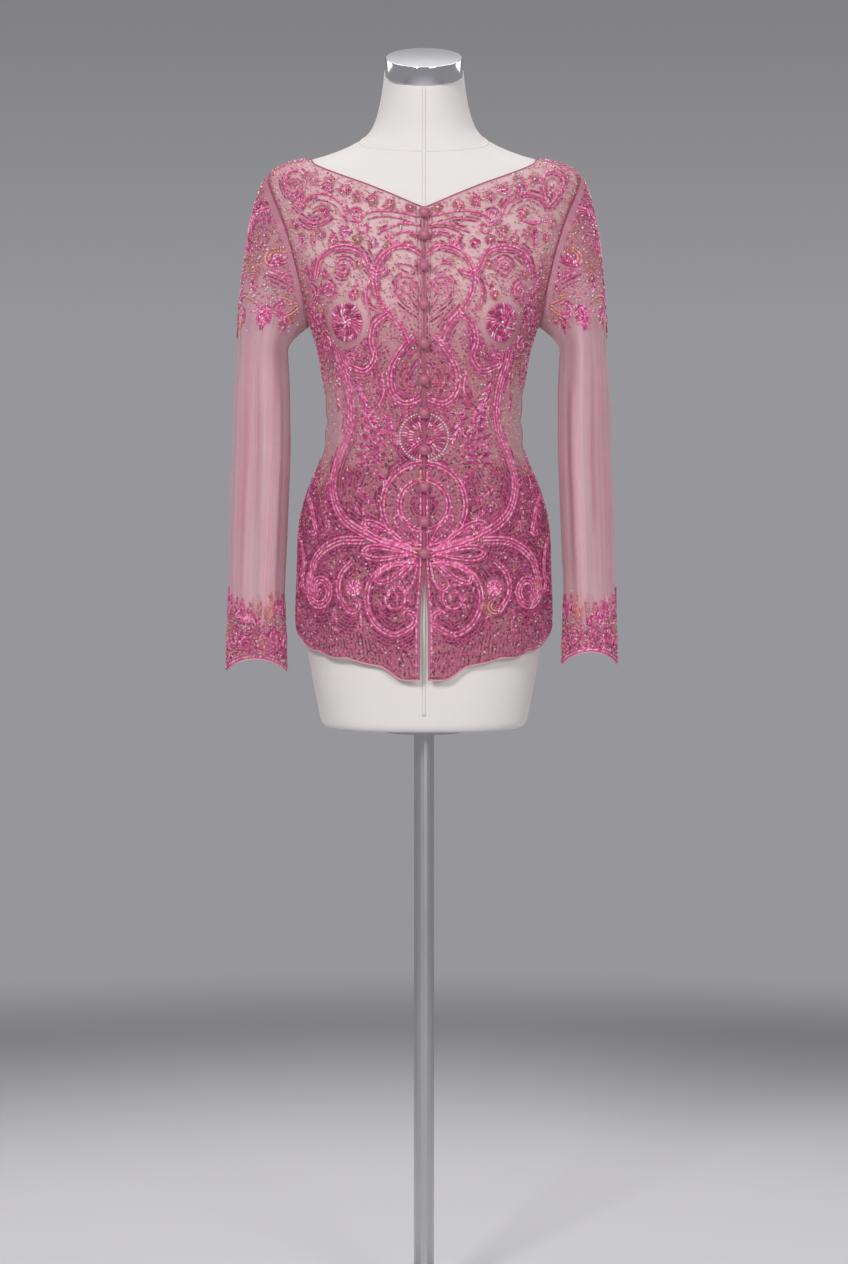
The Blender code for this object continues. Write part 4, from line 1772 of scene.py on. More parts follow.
    def echo(self, rows: int, density: Callable[[Array], Array]) -> None:
        """Sews lines that follow the motifs' own, row after row, where the cloth is still bare.

        Args:
            rows: how many rows each way.
            density: how much of the cloth is sewn at a place.
        """
        for row in range(1, rows + 1):
            for path in self.lines:
                aside = left_of(path) * self.strand_gap * row
                for moved in (path + aside, path - aside):
                    self.follow(moved, row, density)

    def follow(self, path: Array, row: int, density: Callable[[Array], Array]) -> None:
        """Sews the parts of a line that lie on bare cloth.

        Args:
            path: the line.
            row: how many rows it is from the motif; each is sewn less than the one before.
            density: how much of the cloth is sewn at a place.
        """
        style: Style = Line.ECHO.value
        spots = strung(path, path, 1.0, 0.0, style.pitch)
        if len(spots) < self.shortest_run:
            return
        wanted = self.chart.keep(spots) & (ripple(spots, 2.0) < density(spots) ** (2 * row - 1))
        wanted &= (row <= self.rows_above) | (spots[:, 1] < self.hip)
        cells = self.ground.cell_of(spots)
        run: list[int] = []
        for n in range(len(spots) + 1):
            if n < len(spots) and wanted[n] and not self.ground.state[cells[n, 0], cells[n, 1]]:
                run.append(n)
                if len(run) > self.shortest_run:
                    self.ground.mark(cells[run[-self.shortest_run]][None])
                continue
            if len(run) > self.shortest_run:
                shade = self.random.uniform(*style.shades, len(run))
                self.put(spots[run], np.gradient(spots[run], axis=0), style, shade)
            run = []

    def bare(self, spots: Array) -> Array:
        """Picks places that nothing lies on, one after another, and marks each as sewn.

        Args:
            spots: places.

        Returns:
            Those that were bare.
        """
        cells = self.ground.cell_of(spots)
        free = np.zeros(len(spots), bool)
        for n, (i, j) in enumerate(cells):
            free[n] = self.ground.state[i, j] < 2
            if free[n]:
                self.ground.mark(cells[n][None])
        return spots[free]

    def fill(self, apart: float, density: Callable[[Array], Array], spangles: float) -> None:
        """Scatters loose beads, and then spangles, on the cloth that is still bare.

        Args:
            apart: distance between beads in millimetres.
            density: chance that a place is sewn.
            spangles: share of them that are sequins.
        """
        spots = self.chart.scatter(self.random, apart)
        chance = np.clip((density(spots) - 0.45) / 0.5, 0, 1) ** 1.2
        spots = spots[self.random.uniform(0, 1, len(spots)) < chance]
        spots = self.bare(spots[self.chart.keep(spots)])
        ways = polar(self.random.uniform(0, FULL, len(spots)))
        pick = self.random.uniform(0, 1, len(spots))
        copper = self.random.uniform(0.71, 0.84, len(spots))
        darkest = 0.40 - 0.35 * np.clip((density(spots) - 0.6) / 0.3, 0, 1)
        shade = np.where(pick < 0.3, copper, self.random.uniform(darkest, 0.66))
        for style, on in ((Line.FINE.value, pick > 0.88), (Line.SEED.value, pick <= 0.88)):
            self.put(spots[on], ways[on], style._replace(slant=0), shade[on])
        self.spangle(density, spangles)

    def spangle(self, density: Callable[[Array], Array], share: float) -> None:
        """Scatters sequins over the beads.

        Args:
            density: how much of the cloth is sewn at a place.
            share: share of the places there that get one.
        """
        spots = self.chart.scatter(self.random, self.spangle_gap)
        wanted = self.random.uniform(0, 1, len(spots)) < density(spots) * share
        spots = spots[self.chart.keep(spots) & wanted]
        point, normal = self.chart.lift(spots, self.spangle_lift)
        tilt = unit(normal + self.random.normal(0, 0.25, point.shape))
        across = unit(np.cross(tilt, (0.1, 0.2, 1.0)))
        pale = self.random.uniform(0.8, 0.94, len(spots))
        self.boxes[Bead.SEQUIN].add(point, across, tilt, (self.spangle_size,) * 3, pale)

    def pieces(self, panel: str, finishes: Finishes) -> list[Object]:
        """Makes a joined piece of each kind of bead that was sewn.

        Args:
            panel: the name of what they are sewn on.
            finishes: the materials.

        Returns:
            The new objects.
        """
        made = []
        for kind, box in self.boxes.items():
            if box.rows:
                name = f"{kind.value}_{panel}"
                made.append(add_piece(name, box.mesh(kind, name), finishes.beads[kind]))
        return made


# ---------------------------------------------------------------- the design, one half, in millimetres

NECK_MOTIFS: tuple[Motif, ...] = (
    Petal(150, 1320, 78, 42, 28),
    Petal(151, 1326, 78, 28, 16, 1, Line.SEED),
    Spray(152, 1328, 80, 16),
    Scroll(((150, 1318), (139, 1331), (117, 1334), (98, 1322), (90, 1306)), 1, 9, -420),
    Scroll(((140, 1320), (124, 1327), (106, 1320), (98, 1308)), 1, 0, 0, Line.SEED),
    Scroll(((134, 1316), (120, 1321), (108, 1313)), 1, 0, 0, Line.COPPER),
    Scroll(((150, 1308), (136, 1300), (120, 1302), (110, 1308))),
    Scroll(((6, 1306), (24, 1310), (44, 1313), (66, 1311), (76, 1301)), 1, 9, -430),
    Scroll(((16, 1300), (34, 1305), (52, 1306), (66, 1303)), 1, 0, 0, Line.SEED),
    Scroll(((6, 1296), (24, 1298), (42, 1292), (54, 1287))),
    Scroll(((6, 1284), (20, 1289), (34, 1284)), 1, 7, -330),
    Blossom(132, 1352, 8.0, 0.1),
    Blossom(112, 1348, 8.0, 0.1),
    Blossom(94, 1338, 8.0, 0.1),
    Blossom(78, 1330, 7.5, 0.1),
    Blossom(60, 1325, 7.0, 0.4),
    Blossom(40, 1320, 7.0, 0.6),
    Blossom(16, 1317, 6.0, 0.6),
    Blossom(118, 1312, 5.5, 0.1),
    Blossom(124, 1287, 7.5, 0.4),
    Blossom(108, 1280, 6.0, 0.4),
    Blossom(94, 1290, 7.0, 0.2),
    Blossom(78, 1279, 7.0, 0.5),
    Blossom(60, 1275, 6.0, 0.3),
    Blossom(40, 1271, 6.5, 0.6),
    Blossom(18, 1272, 6.5, 0.5),
    Blossom(160, 1300, 6.5, 0.3),
    Blossom(152, 1284, 6.0, 0.3),
    Spray(126, 1344, 190, 18, 30, 3.0),
    Spray(104, 1340, 200, 16, -30, 3.0),
    Spray(70, 1325, 160, 14, -20, 3.0),
    Spray(50, 1318, 170, 12, -20, 3.0),
    Spray(84, 1294, 300, 16, 40, 3.0),
    Spray(110, 1292, 250, 16, 30, 3.0),
    Spray(136, 1294, 262, 18, 10, 3.0),
    Spray(30, 1272, 20, 18, 40, 3.0),
)

BUST_MOTIFS: tuple[Motif, ...] = (
    Scroll(((138, 1236), (128, 1258), (112, 1270), (92, 1273), (74, 1266), (64, 1248)), 2, 14, -150),
    Ring(96, 1247, 12, 3, 200, -520),
    Ring(118, 1221, 9, 2.5, 90, 480),
    Rosette(95, 1184, 23),
    Scroll(
        ((3, 1260), (20, 1269), (40, 1264), (54, 1246), (55, 1222), (44, 1200), (28, 1182), (17, 1160)), 2
    ),
    Ring(20, 1224, 15, 4, -80, 560),
    Petal(8, 1204, 80, 26, 10, 1, Line.SEED),
    Petal(34, 1250, 200, 22, 9, 1, Line.SEED),
    Scroll(((4, 1190), (14, 1197), (26, 1206), (38, 1222)), 1, 0, 0, Line.FINE),
    Scroll(((62, 1234), (68, 1218), (66, 1202), (56, 1196))),
    Spray(80, 1230, 262, 16, 20),
    Spray(134, 1206, 262, 34, -6),
    Spray(140, 1230, 265, 40, 0),
    Spray(150, 1256, 265, 44, -8),
    Spray(134, 1276, 80, 22, 30),
    Spray(150, 1210, 262, 36, 6),
    Ring(142, 1190, 10, 3, 90, -420),
    Blossom(76, 1250, 5.5, 0.3),
    Blossom(84, 1214, 5.5, 0.5),
    Blossom(122, 1240, 6.0, 0.3),
)

WAIST_MOTIFS: tuple[Motif, ...] = (
    Scroll(((10, 1168), (24, 1152), (37, 1130), (37, 1107), (24, 1092), (6, 1096)), 2),
    Scroll(((5, 1150), (17, 1136), (24, 1121), (20, 1108), (9, 1106)), 1, 0, 0, Line.COPPER),
    Scroll(((40, 1192), (56, 1180), (60, 1162), (56, 1143), (70, 1127), (90, 1132)), 2, 10, 380),
    Ring(79, 1153, 9, 3, 200, 430, 1, Line.SEED),
    Scroll(
        ((106, 1156), (100, 1138), (91, 1112), (87, 1080), (92, 1050), (106, 1020))
        + ((111, 990), (97, 958), (64, 937), (30, 925), (4, 916)),
        3,
    ),
    Scroll(((50, 1128), (47, 1108), (52, 1090), (64, 1078))),
    *(
        Spray(80 + 1.4 * abs(i - 4), 1124 - 12 * i, 236 - 6 * i, 40 - 6 * (i % 2), 20 - 4 * i, 3.1)
        for i in range(10)
    ),
    *(Spray(50 - 1.5 * i, 1082 - 11 * i, 236 - 7 * i, 24, 14, 3.0) for i in range(3)),
    Spray(114, 1156, 268, 44, -6),
    Spray(116, 1110, 268, 26, -6),
    Ring(130, 1160, 9, 3, 90, 420),
)

MEDALLION: tuple[Motif, ...] = (
    Ring(0, 1049, 28.5, 28.5, 90, -180, 1, Line.PALE),
    Rays(0, 1049, 19.5, 26.5, 44, thick=1.3),
    Rays(0, 1049, 12.0, 19.0, 30, thick=1.3),
    Ring(9, 1054, 6.0, 2.0, 200, -400, 1, Line.COPPER),
    Blossom(8, 1043, 6.0, 0.0),
)

HIP_MOTIFS: tuple[Motif, ...] = (
    Ring(0, 969, 51, 51, 90, -180, 2),
    Ring(0, 969, 31, 31, 90, -180, 2),
    Rays(0, 969, 34, 41, 54, Bead.DASH),
    Ring(0, 969, 16, 16, 90, -180, 1, Line.FINE),
    Rays(0, 969, 18, 23, 22, Bead.DASH),
    Petal(11, 916, 27, 70, 19, 2),
    Petal(13, 912, 2, 60, 18, 2),
    Petal(10, 907, -29, 54, 18, 2),
    Petal(7, 903, -60, 38, 14),
    Petal(6, 922, 52, 44, 12),
    Scroll(((10, 898), (38, 898), (60, 882), (66, 856), (56, 832), (36, 820), (18, 828)), 2, 10, -230),
    Ring(36, 860, 17, 4, 60, 520),
    Spray(22, 838, 96, 40, -10, 3.0),
    Spray(52, 846, 110, 30, 20, 2.8),
    Scroll(((70, 924), (104, 922), (134, 904), (146, 878)), 3, 17, -470),
    Scroll(((188, 972), (170, 978), (150, 966), (138, 944)), 2, 9, 260),
    Scroll(((184, 934), (168, 922), (160, 900), (164, 878)), 2, 9, -330),
    Scroll(((84, 902), (98, 888), (102, 868), (92, 850)), 2, 8, -260),
    Rosette(84, 872, 10),
    Spray(78, 846, 262, 24, 10),
    Spray(112, 850, 250, 26, 20),
    Spray(126, 1000, 255, 34, 24),
    Spray(128, 970, 240, 34, 24),
    Spray(86, 990, 205, 32, 30, 3.0),
    Spray(86, 968, 200, 30, 20, 3.0),
    Spray(72, 946, 190, 24, 20, 2.8),
    Spray(62, 1010, 215, 26, 20, 2.8),
    Spray(150, 1008, 258, 36, 14),
    Spray(172, 1010, 262, 34, 8),
    Spray(190, 900, 265, 36, 0),
    Spray(140, 850, 100, 20, 20),
    Spray(176, 862, 95, 20, 10),
)

BACK_NECK_MOTIFS: tuple[Motif, ...] = (
    Petal(148, 1318, 80, 38, 24),
    Spray(150, 1326, 82, 18),
    Scroll(((140, 1312), (126, 1324), (106, 1324), (90, 1312)), 1, 16, 430),
    Scroll(((4, 1318), (24, 1322), (44, 1330), (62, 1328)), 1, 16, -430),
    Ring(0, 1300, 15, 15, 90, -180, 2),
    Rays(0, 1300, 2, 7, 10),
    Spray(22, 1288, 300, 30, 40),
    Spray(46, 1300, 280, 30, 30),
    Spray(78, 1294, 270, 26, 20),
    Spray(112, 1296, 262, 26, -10),
    Rays(94, 1338, 1.5, 5.5, 6),
    Rays(122, 1350, 1.5, 5.5, 6),
    Rays(30, 1336, 1.5, 5.5, 6),
)

HEAD_MOTIFS: tuple[Motif, ...] = (
    Scroll(((100, 1250), (104, 1274), (92, 1292), (72, 1296)), 2, 12, 400),
    Scroll(((24, 1262), (14, 1288), (26, 1312), (48, 1320)), 2, 12, -400),
    Scroll(((-24, 1262), (-14, 1290), (-26, 1312), (-48, 1318)), 2, 12, 400),
    Scroll(((-100, 1250), (-104, 1274), (-92, 1292), (-72, 1296)), 2, 12, -400),
    Rosette(60, 1262, 13),
    Rosette(-60, 1262, 13),
    Spray(0, 1330, 270, 60, 0, 3.0),
    Spray(40, 1256, 268, 34, 10),
    Spray(84, 1250, 272, 36, -10),
    Spray(-40, 1256, 272, 34, -10),
    Spray(-84, 1250, 268, 36, 10),
    Scroll(((58, 1244), (78, 1234), (98, 1216), (94, 1200)), 2, 8, -300),
    Scroll(((-58, 1244), (-78, 1234), (-98, 1216), (-94, 1200)), 2, 8, 300),
    Spray(78, 1290, 262, 44, 10),
    Spray(-78, 1290, 278, 44, -10),
    Spray(14, 1240, 275, 30, 10),
    Spray(-14, 1240, 265, 30, -10),
    Spray(110, 1236, 270, 34, 0),
    Spray(-110, 1236, 270, 34, 0),
)

ARM_SPRIGS: tuple[Motif, ...] = (
    Fan(2, 1196, 268, 26),
    Fan(30, 1204, 262, 24),
    Fan(66, 1206, 266, 28),
    Fan(94, 1200, 276, 26),
    Fan(120, 1206, 268, 22),
    Fan(150, 1198, 272, 24),
    Fan(186, 1204, 262, 24),
    Fan(222, 1198, 270, 26),
    Fan(246, 1204, 268, 22),
    Scroll(((-12, 1214), (8, 1206), (30, 1216), (50, 1208)), 1, 7, -330),
    Scroll(((80, 1214), (100, 1206), (124, 1214), (146, 1206)), 1, 7, 330),
    Scroll(((176, 1216), (198, 1206), (222, 1214), (244, 1206)), 1, 6, -330),
    Ring(64, 1188, 9, 3, 100, 430),
    Ring(206, 1188, 8, 3, 80, -430),
)


class Cover(NamedTuple):
    """How thickly the cloth is filled at a height: at the middle line, and at the side."""

    height: float
    middle: float
    side: float


FRONT_COVER = (
    Cover(760, 0.96, 0.97),
    Cover(980, 0.97, 0.98),
    Cover(1008, 0.97, 0.62),
    Cover(1030, 0.97, 0.08),
    Cover(1100, 0.95, 0.08),
    Cover(1120, 0.92, 0.62),
    Cover(1160, 0.84, 0.94),
    Cover(1200, 0.74, 0.90),
    Cover(1262, 0.60, 0.82),
    Cover(1285, 0.57, 0.72),
    Cover(1340, 0.56, 0.72),
    Cover(1380, 0.56, 0.84),
)

BACK_COVER = (
    Cover(760, 0.94, 0.96),
    Cover(980, 0.95, 0.97),
    Cover(1008, 0.94, 0.62),
    Cover(1030, 0.93, 0.08),
    Cover(1100, 0.88, 0.08),
    Cover(1120, 0.82, 0.56),
    Cover(1180, 0.70, 0.86),
    Cover(1250, 0.54, 0.80),
    Cover(1300, 0.46, 0.66),
    Cover(1380, 0.46, 0.84),
)

SLEEVE_COVER = (
    Cover(760, 0.96, 0.96),
    Cover(828, 0.95, 0.95),
    Cover(842, 0.35, 0.35),
    Cover(854, 0.0, 0.0),
    Cover(1172, 0.0, 0.0),
    Cover(1190, 0.25, 0.70),
    Cover(1205, 0.45, 0.90),
    Cover(1234, 0.66, 0.95),
    Cover(1250, 0.94, 0.92),
    Cover(1330, 1.00, 0.96),
    Cover(1372, 1.00, 1.00),
)


@dataclass(frozen=True)
class Coverage:
    """How thickly beads lie on a chart, from the middle line or a sleeve's outer side to the far side.

    The rows' edges are made ragged by waves, each with its height, how often it comes, and where it starts.
    """

    table: tuple[Cover, ...]
    half: float
    round_tube: bool = False
    spread: float = 1.7
    waves: tuple[Triple, ...] = ((7, 0.19, 0.0), (5, 0.43, 1.0))

    def __call__(self, spots: Array) -> Array:
        """Finds how much of the cloth is sewn.

        Args:
            spots: places on the chart.

        Returns:
            A share from 0 to 1 at each place.
        """
        if self.round_tube:
            across = (1 - np.cos(math.pi * spots[:, 0] / self.half)) / 2
        else:
            across = np.clip(np.abs(spots[:, 0]) / self.half, 0, 1) ** self.spread
        curves = tracks(self.table)
        ragged = sum(tall * np.sin(spots[:, 0] * often + start) for tall, often, start in self.waves)
        height = spots[:, 1] + ragged
        return curves["middle"](height) * (1 - across) + curves["side"](height) * across


SLEEVE_SEWN = Coverage(SLEEVE_COVER, 132.0, True)


# ---------------------------------------------------------------- finishes



class Nodes:
    """Adds and joins the nodes of one tree."""

    def __init__(self, tree: NodeTree) -> None:
        """Keeps the tree."""
        self.tree = tree

    def add(self, kind: str, inputs: dict[str | int, object] | None = None, **settings: object) -> Node:
        """Adds a node.

        Args:
            kind: its type, without the leading ShaderNode.
            inputs: values or sockets by input name or number.
            settings: the node's own properties.

        Returns:
            The node.
        """
        node = self.tree.nodes.new("ShaderNode" + kind)
        for name, value in settings.items():
            setattr(node, name, value)
        for name, value in (inputs or {}).items():
            if isinstance(value, Socket):
                self.tree.links.new(value, node.inputs[name])
            else:
                node.inputs[name].default_value = value
        return node

    def math(self, operation: str, *values: object) -> Socket:
        """Returns the result of a Math node."""
        return self.add("Math", dict(enumerate(values)), operation=operation).outputs[0]

    def blend(self, value: Socket, share: float, base: object) -> Socket:
        """Returns a share of a value on top of a base."""
        return self.math("ADD", self.math("MULTIPLY", value, share), base)

    def place(self) -> Socket:
        """Returns the place on the object, in metres."""
        return self.add("TexCoord").outputs["Object"]

    def ramp(self, value: Socket, stops: Sequence[tuple[float, Triple]]) -> Socket:
        """Adds a colour ramp.

        Args:
            value: where it is read.
            stops: place and colour of each stop.

        Returns:
            The colour.
        """
        node = self.add("ValToRGB", {0: value})
        band = node.color_ramp
        while len(band.elements) < len(stops):
            band.elements.new(0.5)
        for element, (place, colour) in zip(band.elements, stops):
            element.position = place
            element.color = (*colour, 1)
        return node.outputs[0]

    def mix(self, share: object, first: object, second: object) -> Socket:
        """Adds a mix of two colours.

        Args:
            share: how much of the second.
            first: a colour or its socket.
            second: a colour or its socket.

        Returns:
            The colour between them.
        """
        node = self.add("Mix", {0: share}, data_type="RGBA")
        for socket, value in ((node.inputs[6], first), (node.inputs[7], second)):
            if isinstance(value, Socket):
                self.tree.links.new(value, socket)
            else:
                socket.default_value = (*value, 1)
        return node.outputs[2]


def node_group(
    name: str, inputs: dict[str, float], outputs: Sequence[str]
) -> tuple[Nodes, Node, Node]:
    """Starts a group of nodes, whose first input is the place at which it is read.

    Args:
        name: the group's name.
        inputs: number inputs and their defaults.
        outputs: number outputs.

    Returns:
        Its nodes, its input node and its output node.
    """
    tree = bpy.data.node_groups.new(name, "ShaderNodeTree")
    tree.interface.new_socket("Place", in_out="INPUT", socket_type="NodeSocketVector")
    for label, value in inputs.items():
        tree.interface.new_socket(label, in_out="INPUT", socket_type="NodeSocketFloat").default_value = value
    for label in outputs:
        tree.interface.new_socket(label, in_out="OUTPUT", socket_type="NodeSocketFloat")
    return Nodes(tree), tree.nodes.new("NodeGroupInput"), tree.nodes.new("NodeGroupOutput")


THREAD_BLUR = 0.08  # how softly a net thread ends, as a share of a hole


def weave_group() -> NodeTree:
    """Makes the net weave: three families of threads.

    Returns:
        A group that puts out a mask, 1 on a thread, and a height.
    """
    nodes, source, sink = node_group("net_weave", {"Pitch": 0.0012, "Thread": 0.4}, ("Mask", "Height"))
    parts = nodes.add("SeparateXYZ", {0: source.outputs["Place"]})
    best: Socket | None = None
    for degrees in (90, 30, 150):
        turn = math.radians(degrees)
        across = nodes.math("MULTIPLY", parts.outputs[1], math.sin(turn))
        along = nodes.blend(parts.outputs[0], math.cos(turn), across)
        cell = nodes.math("FRACT", nodes.math("DIVIDE", along, source.outputs["Pitch"]))
        far = nodes.math("MULTIPLY", nodes.math("ABSOLUTE", nodes.math("SUBTRACT", cell, 0.5)), 2.0)
        best = far if best is None else nodes.math("MAXIMUM", best, far)
    edge = nodes.math("SUBTRACT", 1.0, source.outputs["Thread"])
    start, end = (nodes.math(way, edge, THREAD_BLUR) for way in ("SUBTRACT", "ADD"))
    mask = nodes.add("MapRange", {0: best, 1: start, 2: end})
    links = nodes.tree.links
    links.new(mask.outputs[0], sink.inputs["Mask"])
    links.new(best, sink.inputs["Height"])
    return nodes.tree


def mottle_group() -> NodeTree:
    """Makes soft uneven patches.

    Returns:
        A group that puts out a value from 0 to 1.
    """
    nodes, source, sink = node_group("mottle", {"Scale": 20.0, "Spread": 0.5}, ("Value",))
    read = {"Vector": source.outputs["Place"], "Scale": source.outputs["Scale"], "Detail": 3.0}
    noise = nodes.add("TexNoise", read)
    away = nodes.math("MULTIPLY", nodes.math("SUBTRACT", noise.outputs[0], 0.5), source.outputs["Spread"])
    nodes.tree.links.new(nodes.blend(away, 2.0, 0.5), sink.inputs["Value"])
    return nodes.tree


def thread_group() -> NodeTree:
    """Makes a plain weave of over-and-under threads.

    Returns:
        A group that puts out a height from 0 to 1.
    """
    nodes, source, sink = node_group("plain_weave", {"Pitch": 0.0011}, ("Height",))
    parts = nodes.add("SeparateXYZ", {0: source.outputs["Place"]})
    waves = [
        nodes.math("SINE", nodes.math("MULTIPLY", nodes.math("DIVIDE", part, source.outputs["Pitch"]), FULL))
        for part in (parts.outputs[0], parts.outputs[2])
    ]
    height = nodes.blend(nodes.math("MULTIPLY", *waves), 0.5, 0.5)
    nodes.tree.links.new(height, sink.inputs["Height"])
    return nodes.tree


@dataclass(frozen=True)
class Groups:
    """The node groups that finishes share."""

    weave: NodeTree
    mottle: NodeTree
    thread: NodeTree


@dataclass(frozen=True)
class Finish:
    """A surface finish. Colours are linear."""

    name: str
    colour: Triple
    second: Triple
    roughness: float
    metallic: float = 0.0
    sheen: float = 0.0
    coat: float = 0.0

    def start(self) -> tuple[Material, Nodes, Node]:
        """Starts the material.

        Returns:
            The material, its nodes, and its shader with the constants set.
        """
        made = bpy.data.materials.new(self.name)
        made.use_nodes = True
        shader = made.node_tree.nodes["Principled BSDF"]
        shader.inputs["Base Color"].default_value = (*self.colour, 1)
        shader.inputs["Roughness"].default_value = self.roughness
        shader.inputs["Metallic"].default_value = self.metallic
        shader.inputs["Sheen Weight"].default_value = self.sheen
        shader.inputs["Sheen Roughness"].default_value = 0.35
        shader.inputs["Sheen Tint"].default_value = (1.0, 0.72, 0.78, 1)
        shader.inputs["Coat Weight"].default_value = self.coat
        shader.inputs["Coat Roughness"].default_value = 0.1
        return made, Nodes(made.node_tree), shader

    def group(self, nodes: Nodes, tree: NodeTree, place: Socket, **inputs: float) -> Node:
        """Adds a shared group.

        Args:
            nodes: the material's nodes.
            tree: the group.
            place: where it is read.
            inputs: its own values.

        Returns:
            Its node.
        """
        node = nodes.add("Group", node_tree=tree)
        nodes.tree.links.new(place, node.inputs["Place"])
        for name, value in inputs.items():
            node.inputs[name].default_value = value
        return node

    def tint(self, nodes: Nodes, shader: Node, place: Socket, groups: Groups, scale: float) -> Socket:
        """Joins a patchy colour to the shader.

        Args:
            nodes: the material's nodes.
            shader: its shader.
            place: where the patches are read.
            groups: the shared groups.
            scale: how close the patches are.

        Returns:
            The patches.
        """
        patches = self.group(nodes, groups.mottle, place, Scale=scale, Spread=0.5).outputs["Value"]
        nodes.tree.links.new(nodes.mix(patches, self.colour, self.second), shader.inputs["Base Color"])
        return patches

    def bump(self, nodes: Nodes, shader: Node, height: Socket, strength: float, distance: float) -> None:
        """Joins a height to the shader's normal."""
        bump = nodes.add("Bump", {"Height": height, "Strength": strength, "Distance": distance})
        nodes.tree.links.new(bump.outputs[0], shader.inputs["Normal"])


@dataclass(frozen=True)
class NetFinish(Finish):
    """Fine net, whose threads cover part of the cloth."""

    cover: float = 0.6
    pitch: float = 0.0012
    thread: float = 0.14
    streak: float = 0.10
    drawn: Triple = (110.0, 1.6, 1.0)
    deep: Triple = (0.44, 0.07, 0.18)
    deep_share: float = 0.75
    backed: float = 0.26
    patch_scale: float = 26.0

    def material(self, groups: Groups) -> Material:
        """Makes the material.

        Args:
            groups: the shared groups.

        Returns:
            The material.
        """
        made, nodes, shader = self.start()
        chart = nodes.add("UVMap", uv_map="weave").outputs[0]
        place = nodes.place()
        weave = self.group(nodes, groups.weave, chart, Pitch=self.pitch, Thread=self.thread)
        backing_and_fold_shade = nodes.add("Attribute", attribute_name="backing_and_fold_shade").outputs["Fac"]
        mottle = {"Scale": self.patch_scale, "Spread": 0.5}
        patches = self.group(nodes, groups.mottle, place, **mottle).outputs["Value"]
        plain = nodes.mix(patches, self.colour, self.second)
        # Where the backing attribute is high the net turns to its deep colour and grows denser: thread backing
        # behind the beads, and painted shade on the flanks of a sleeve's folds.
        colour = nodes.mix(nodes.math("MULTIPLY", backing_and_fold_shade, self.deep_share), plain, self.deep)
        nodes.tree.links.new(colour, shader.inputs["Base Color"])
        drawn = nodes.add("Mapping", {"Vector": chart, "Scale": self.drawn}).outputs[0]
        streaks = self.group(nodes, groups.mottle, drawn, Scale=1.0, Spread=1.0).outputs["Value"]
        threads = nodes.math("MULTIPLY", weave.outputs["Mask"], self.cover)
        gauze = nodes.blend(backing_and_fold_shade, self.backed, nodes.blend(streaks, self.streak, threads))
        nodes.tree.links.new(gauze, shader.inputs["Alpha"])
        self.bump(nodes, shader, weave.outputs["Height"], 0.3, 0.0002)
        return made


@dataclass(frozen=True)
class GlassFinish(Finish):
    """Foil-lined glass, whose colour runs with each bead's own shade."""

    stops: tuple[tuple[float, Triple], ...] = ()
    uneven: float = 0.08

    def material(self, groups: Groups) -> Material:
        """Makes the material.

        Args:
            groups: the shared groups.

        Returns:
            The material.
        """
        made, nodes, shader = self.start()
        shade = nodes.add("Attribute", attribute_name="shade").outputs["Fac"]
        nodes.tree.links.new(nodes.ramp(shade, self.stops), shader.inputs["Base Color"])
        place = nodes.place()
        patches = self.group(nodes, groups.mottle, place, Scale=240.0, Spread=0.5).outputs["Value"]
        rough = nodes.blend(patches, 2 * self.uneven, self.roughness - self.uneven)
        nodes.tree.links.new(rough, shader.inputs["Roughness"])
        return made


@dataclass(frozen=True)
class WovenFinish(Finish):
    """Plain woven cloth: satin, edging tape or linen."""

    pitch: float = 0.0008
    relief: float = 0.0002
    scale: float = 40.0
    uneven: float = 0.06

    def material(self, groups: Groups) -> Material:
        """Makes the material.

        Args:
            groups: the shared groups.

        Returns:
            The material.
        """
        made, nodes, shader = self.start()
        place = nodes.place()
        patches = self.tint(nodes, shader, place, groups, self.scale)
        thread = self.group(nodes, groups.thread, place, Pitch=self.pitch).outputs["Height"]
        rough = nodes.blend(thread, 2 * self.uneven, self.roughness - self.uneven)
        nodes.tree.links.new(rough, shader.inputs["Roughness"])
        self.bump(nodes, shader, nodes.blend(patches, 0.6, thread), 0.5, self.relief)
        return made


@dataclass(frozen=True)
class MetalFinish(Finish):
    """Plated or brushed metal, with fine marks round its axis."""

    marks: float = 0.05
    grain: Triple = (4.0, 4.0, 600.0)

    def material(self, groups: Groups) -> Material:
        """Makes the material.

        Args:
            groups: the shared groups.

        Returns:
            The material.
        """
        made, nodes, shader = self.start()
        place = nodes.place()
        drawn = nodes.add("Mapping", {"Vector": place, "Scale": self.grain}).outputs[0]
        brushed = self.group(nodes, groups.mottle, drawn, Scale=1.0, Spread=0.6).outputs["Value"]
        worn = self.tint(nodes, shader, place, groups, 30.0)
        spread = nodes.blend(brushed, self.marks, nodes.math("MULTIPLY", worn, self.marks))
        nodes.tree.links.new(nodes.math("ADD", spread, self.roughness), shader.inputs["Roughness"])
        return made


@dataclass(frozen=True)
class FloorFinish(Finish):
    """Pale studio paper that turns to the grey of the surround, and fades into it, away from the middle."""

    turn: Pair = (0.7, 2.1)
    end: Pair = (1.9, 2.7)
    scuff: Triple = (0.1, 0.1, 0.11)
    scuff_share: float = 0.08

    def material(self, groups: Groups) -> Material:
        """Makes the material.

        Args:
            groups: the shared groups.

        Returns:
            The material.
        """
        made, nodes, shader = self.start()
        place = nodes.place()
        parts = nodes.add("SeparateXYZ", {0: place}).outputs
        squares = (nodes.math("MULTIPLY", part, part) for part in parts[:2])
        away = nodes.math("SQRT", nodes.math("ADD", *squares))
        share, left = (
            nodes.add("MapRange", {0: away, 1: first, 2: last}, interpolation_type="SMOOTHSTEP").outputs[0]
            for first, last in (self.turn, self.end)
        )
        patches = self.group(nodes, groups.mottle, place, Scale=0.8, Spread=0.12).outputs["Value"]
        paper = nodes.mix(share, self.second, self.colour)
        shaded = nodes.mix(nodes.math("MULTIPLY", patches, self.scuff_share), paper, self.scuff)
        nodes.tree.links.new(shaded, shader.inputs["Base Color"])
        nodes.tree.links.new(nodes.math("SUBTRACT", 1.0, left), shader.inputs["Alpha"])
        return made


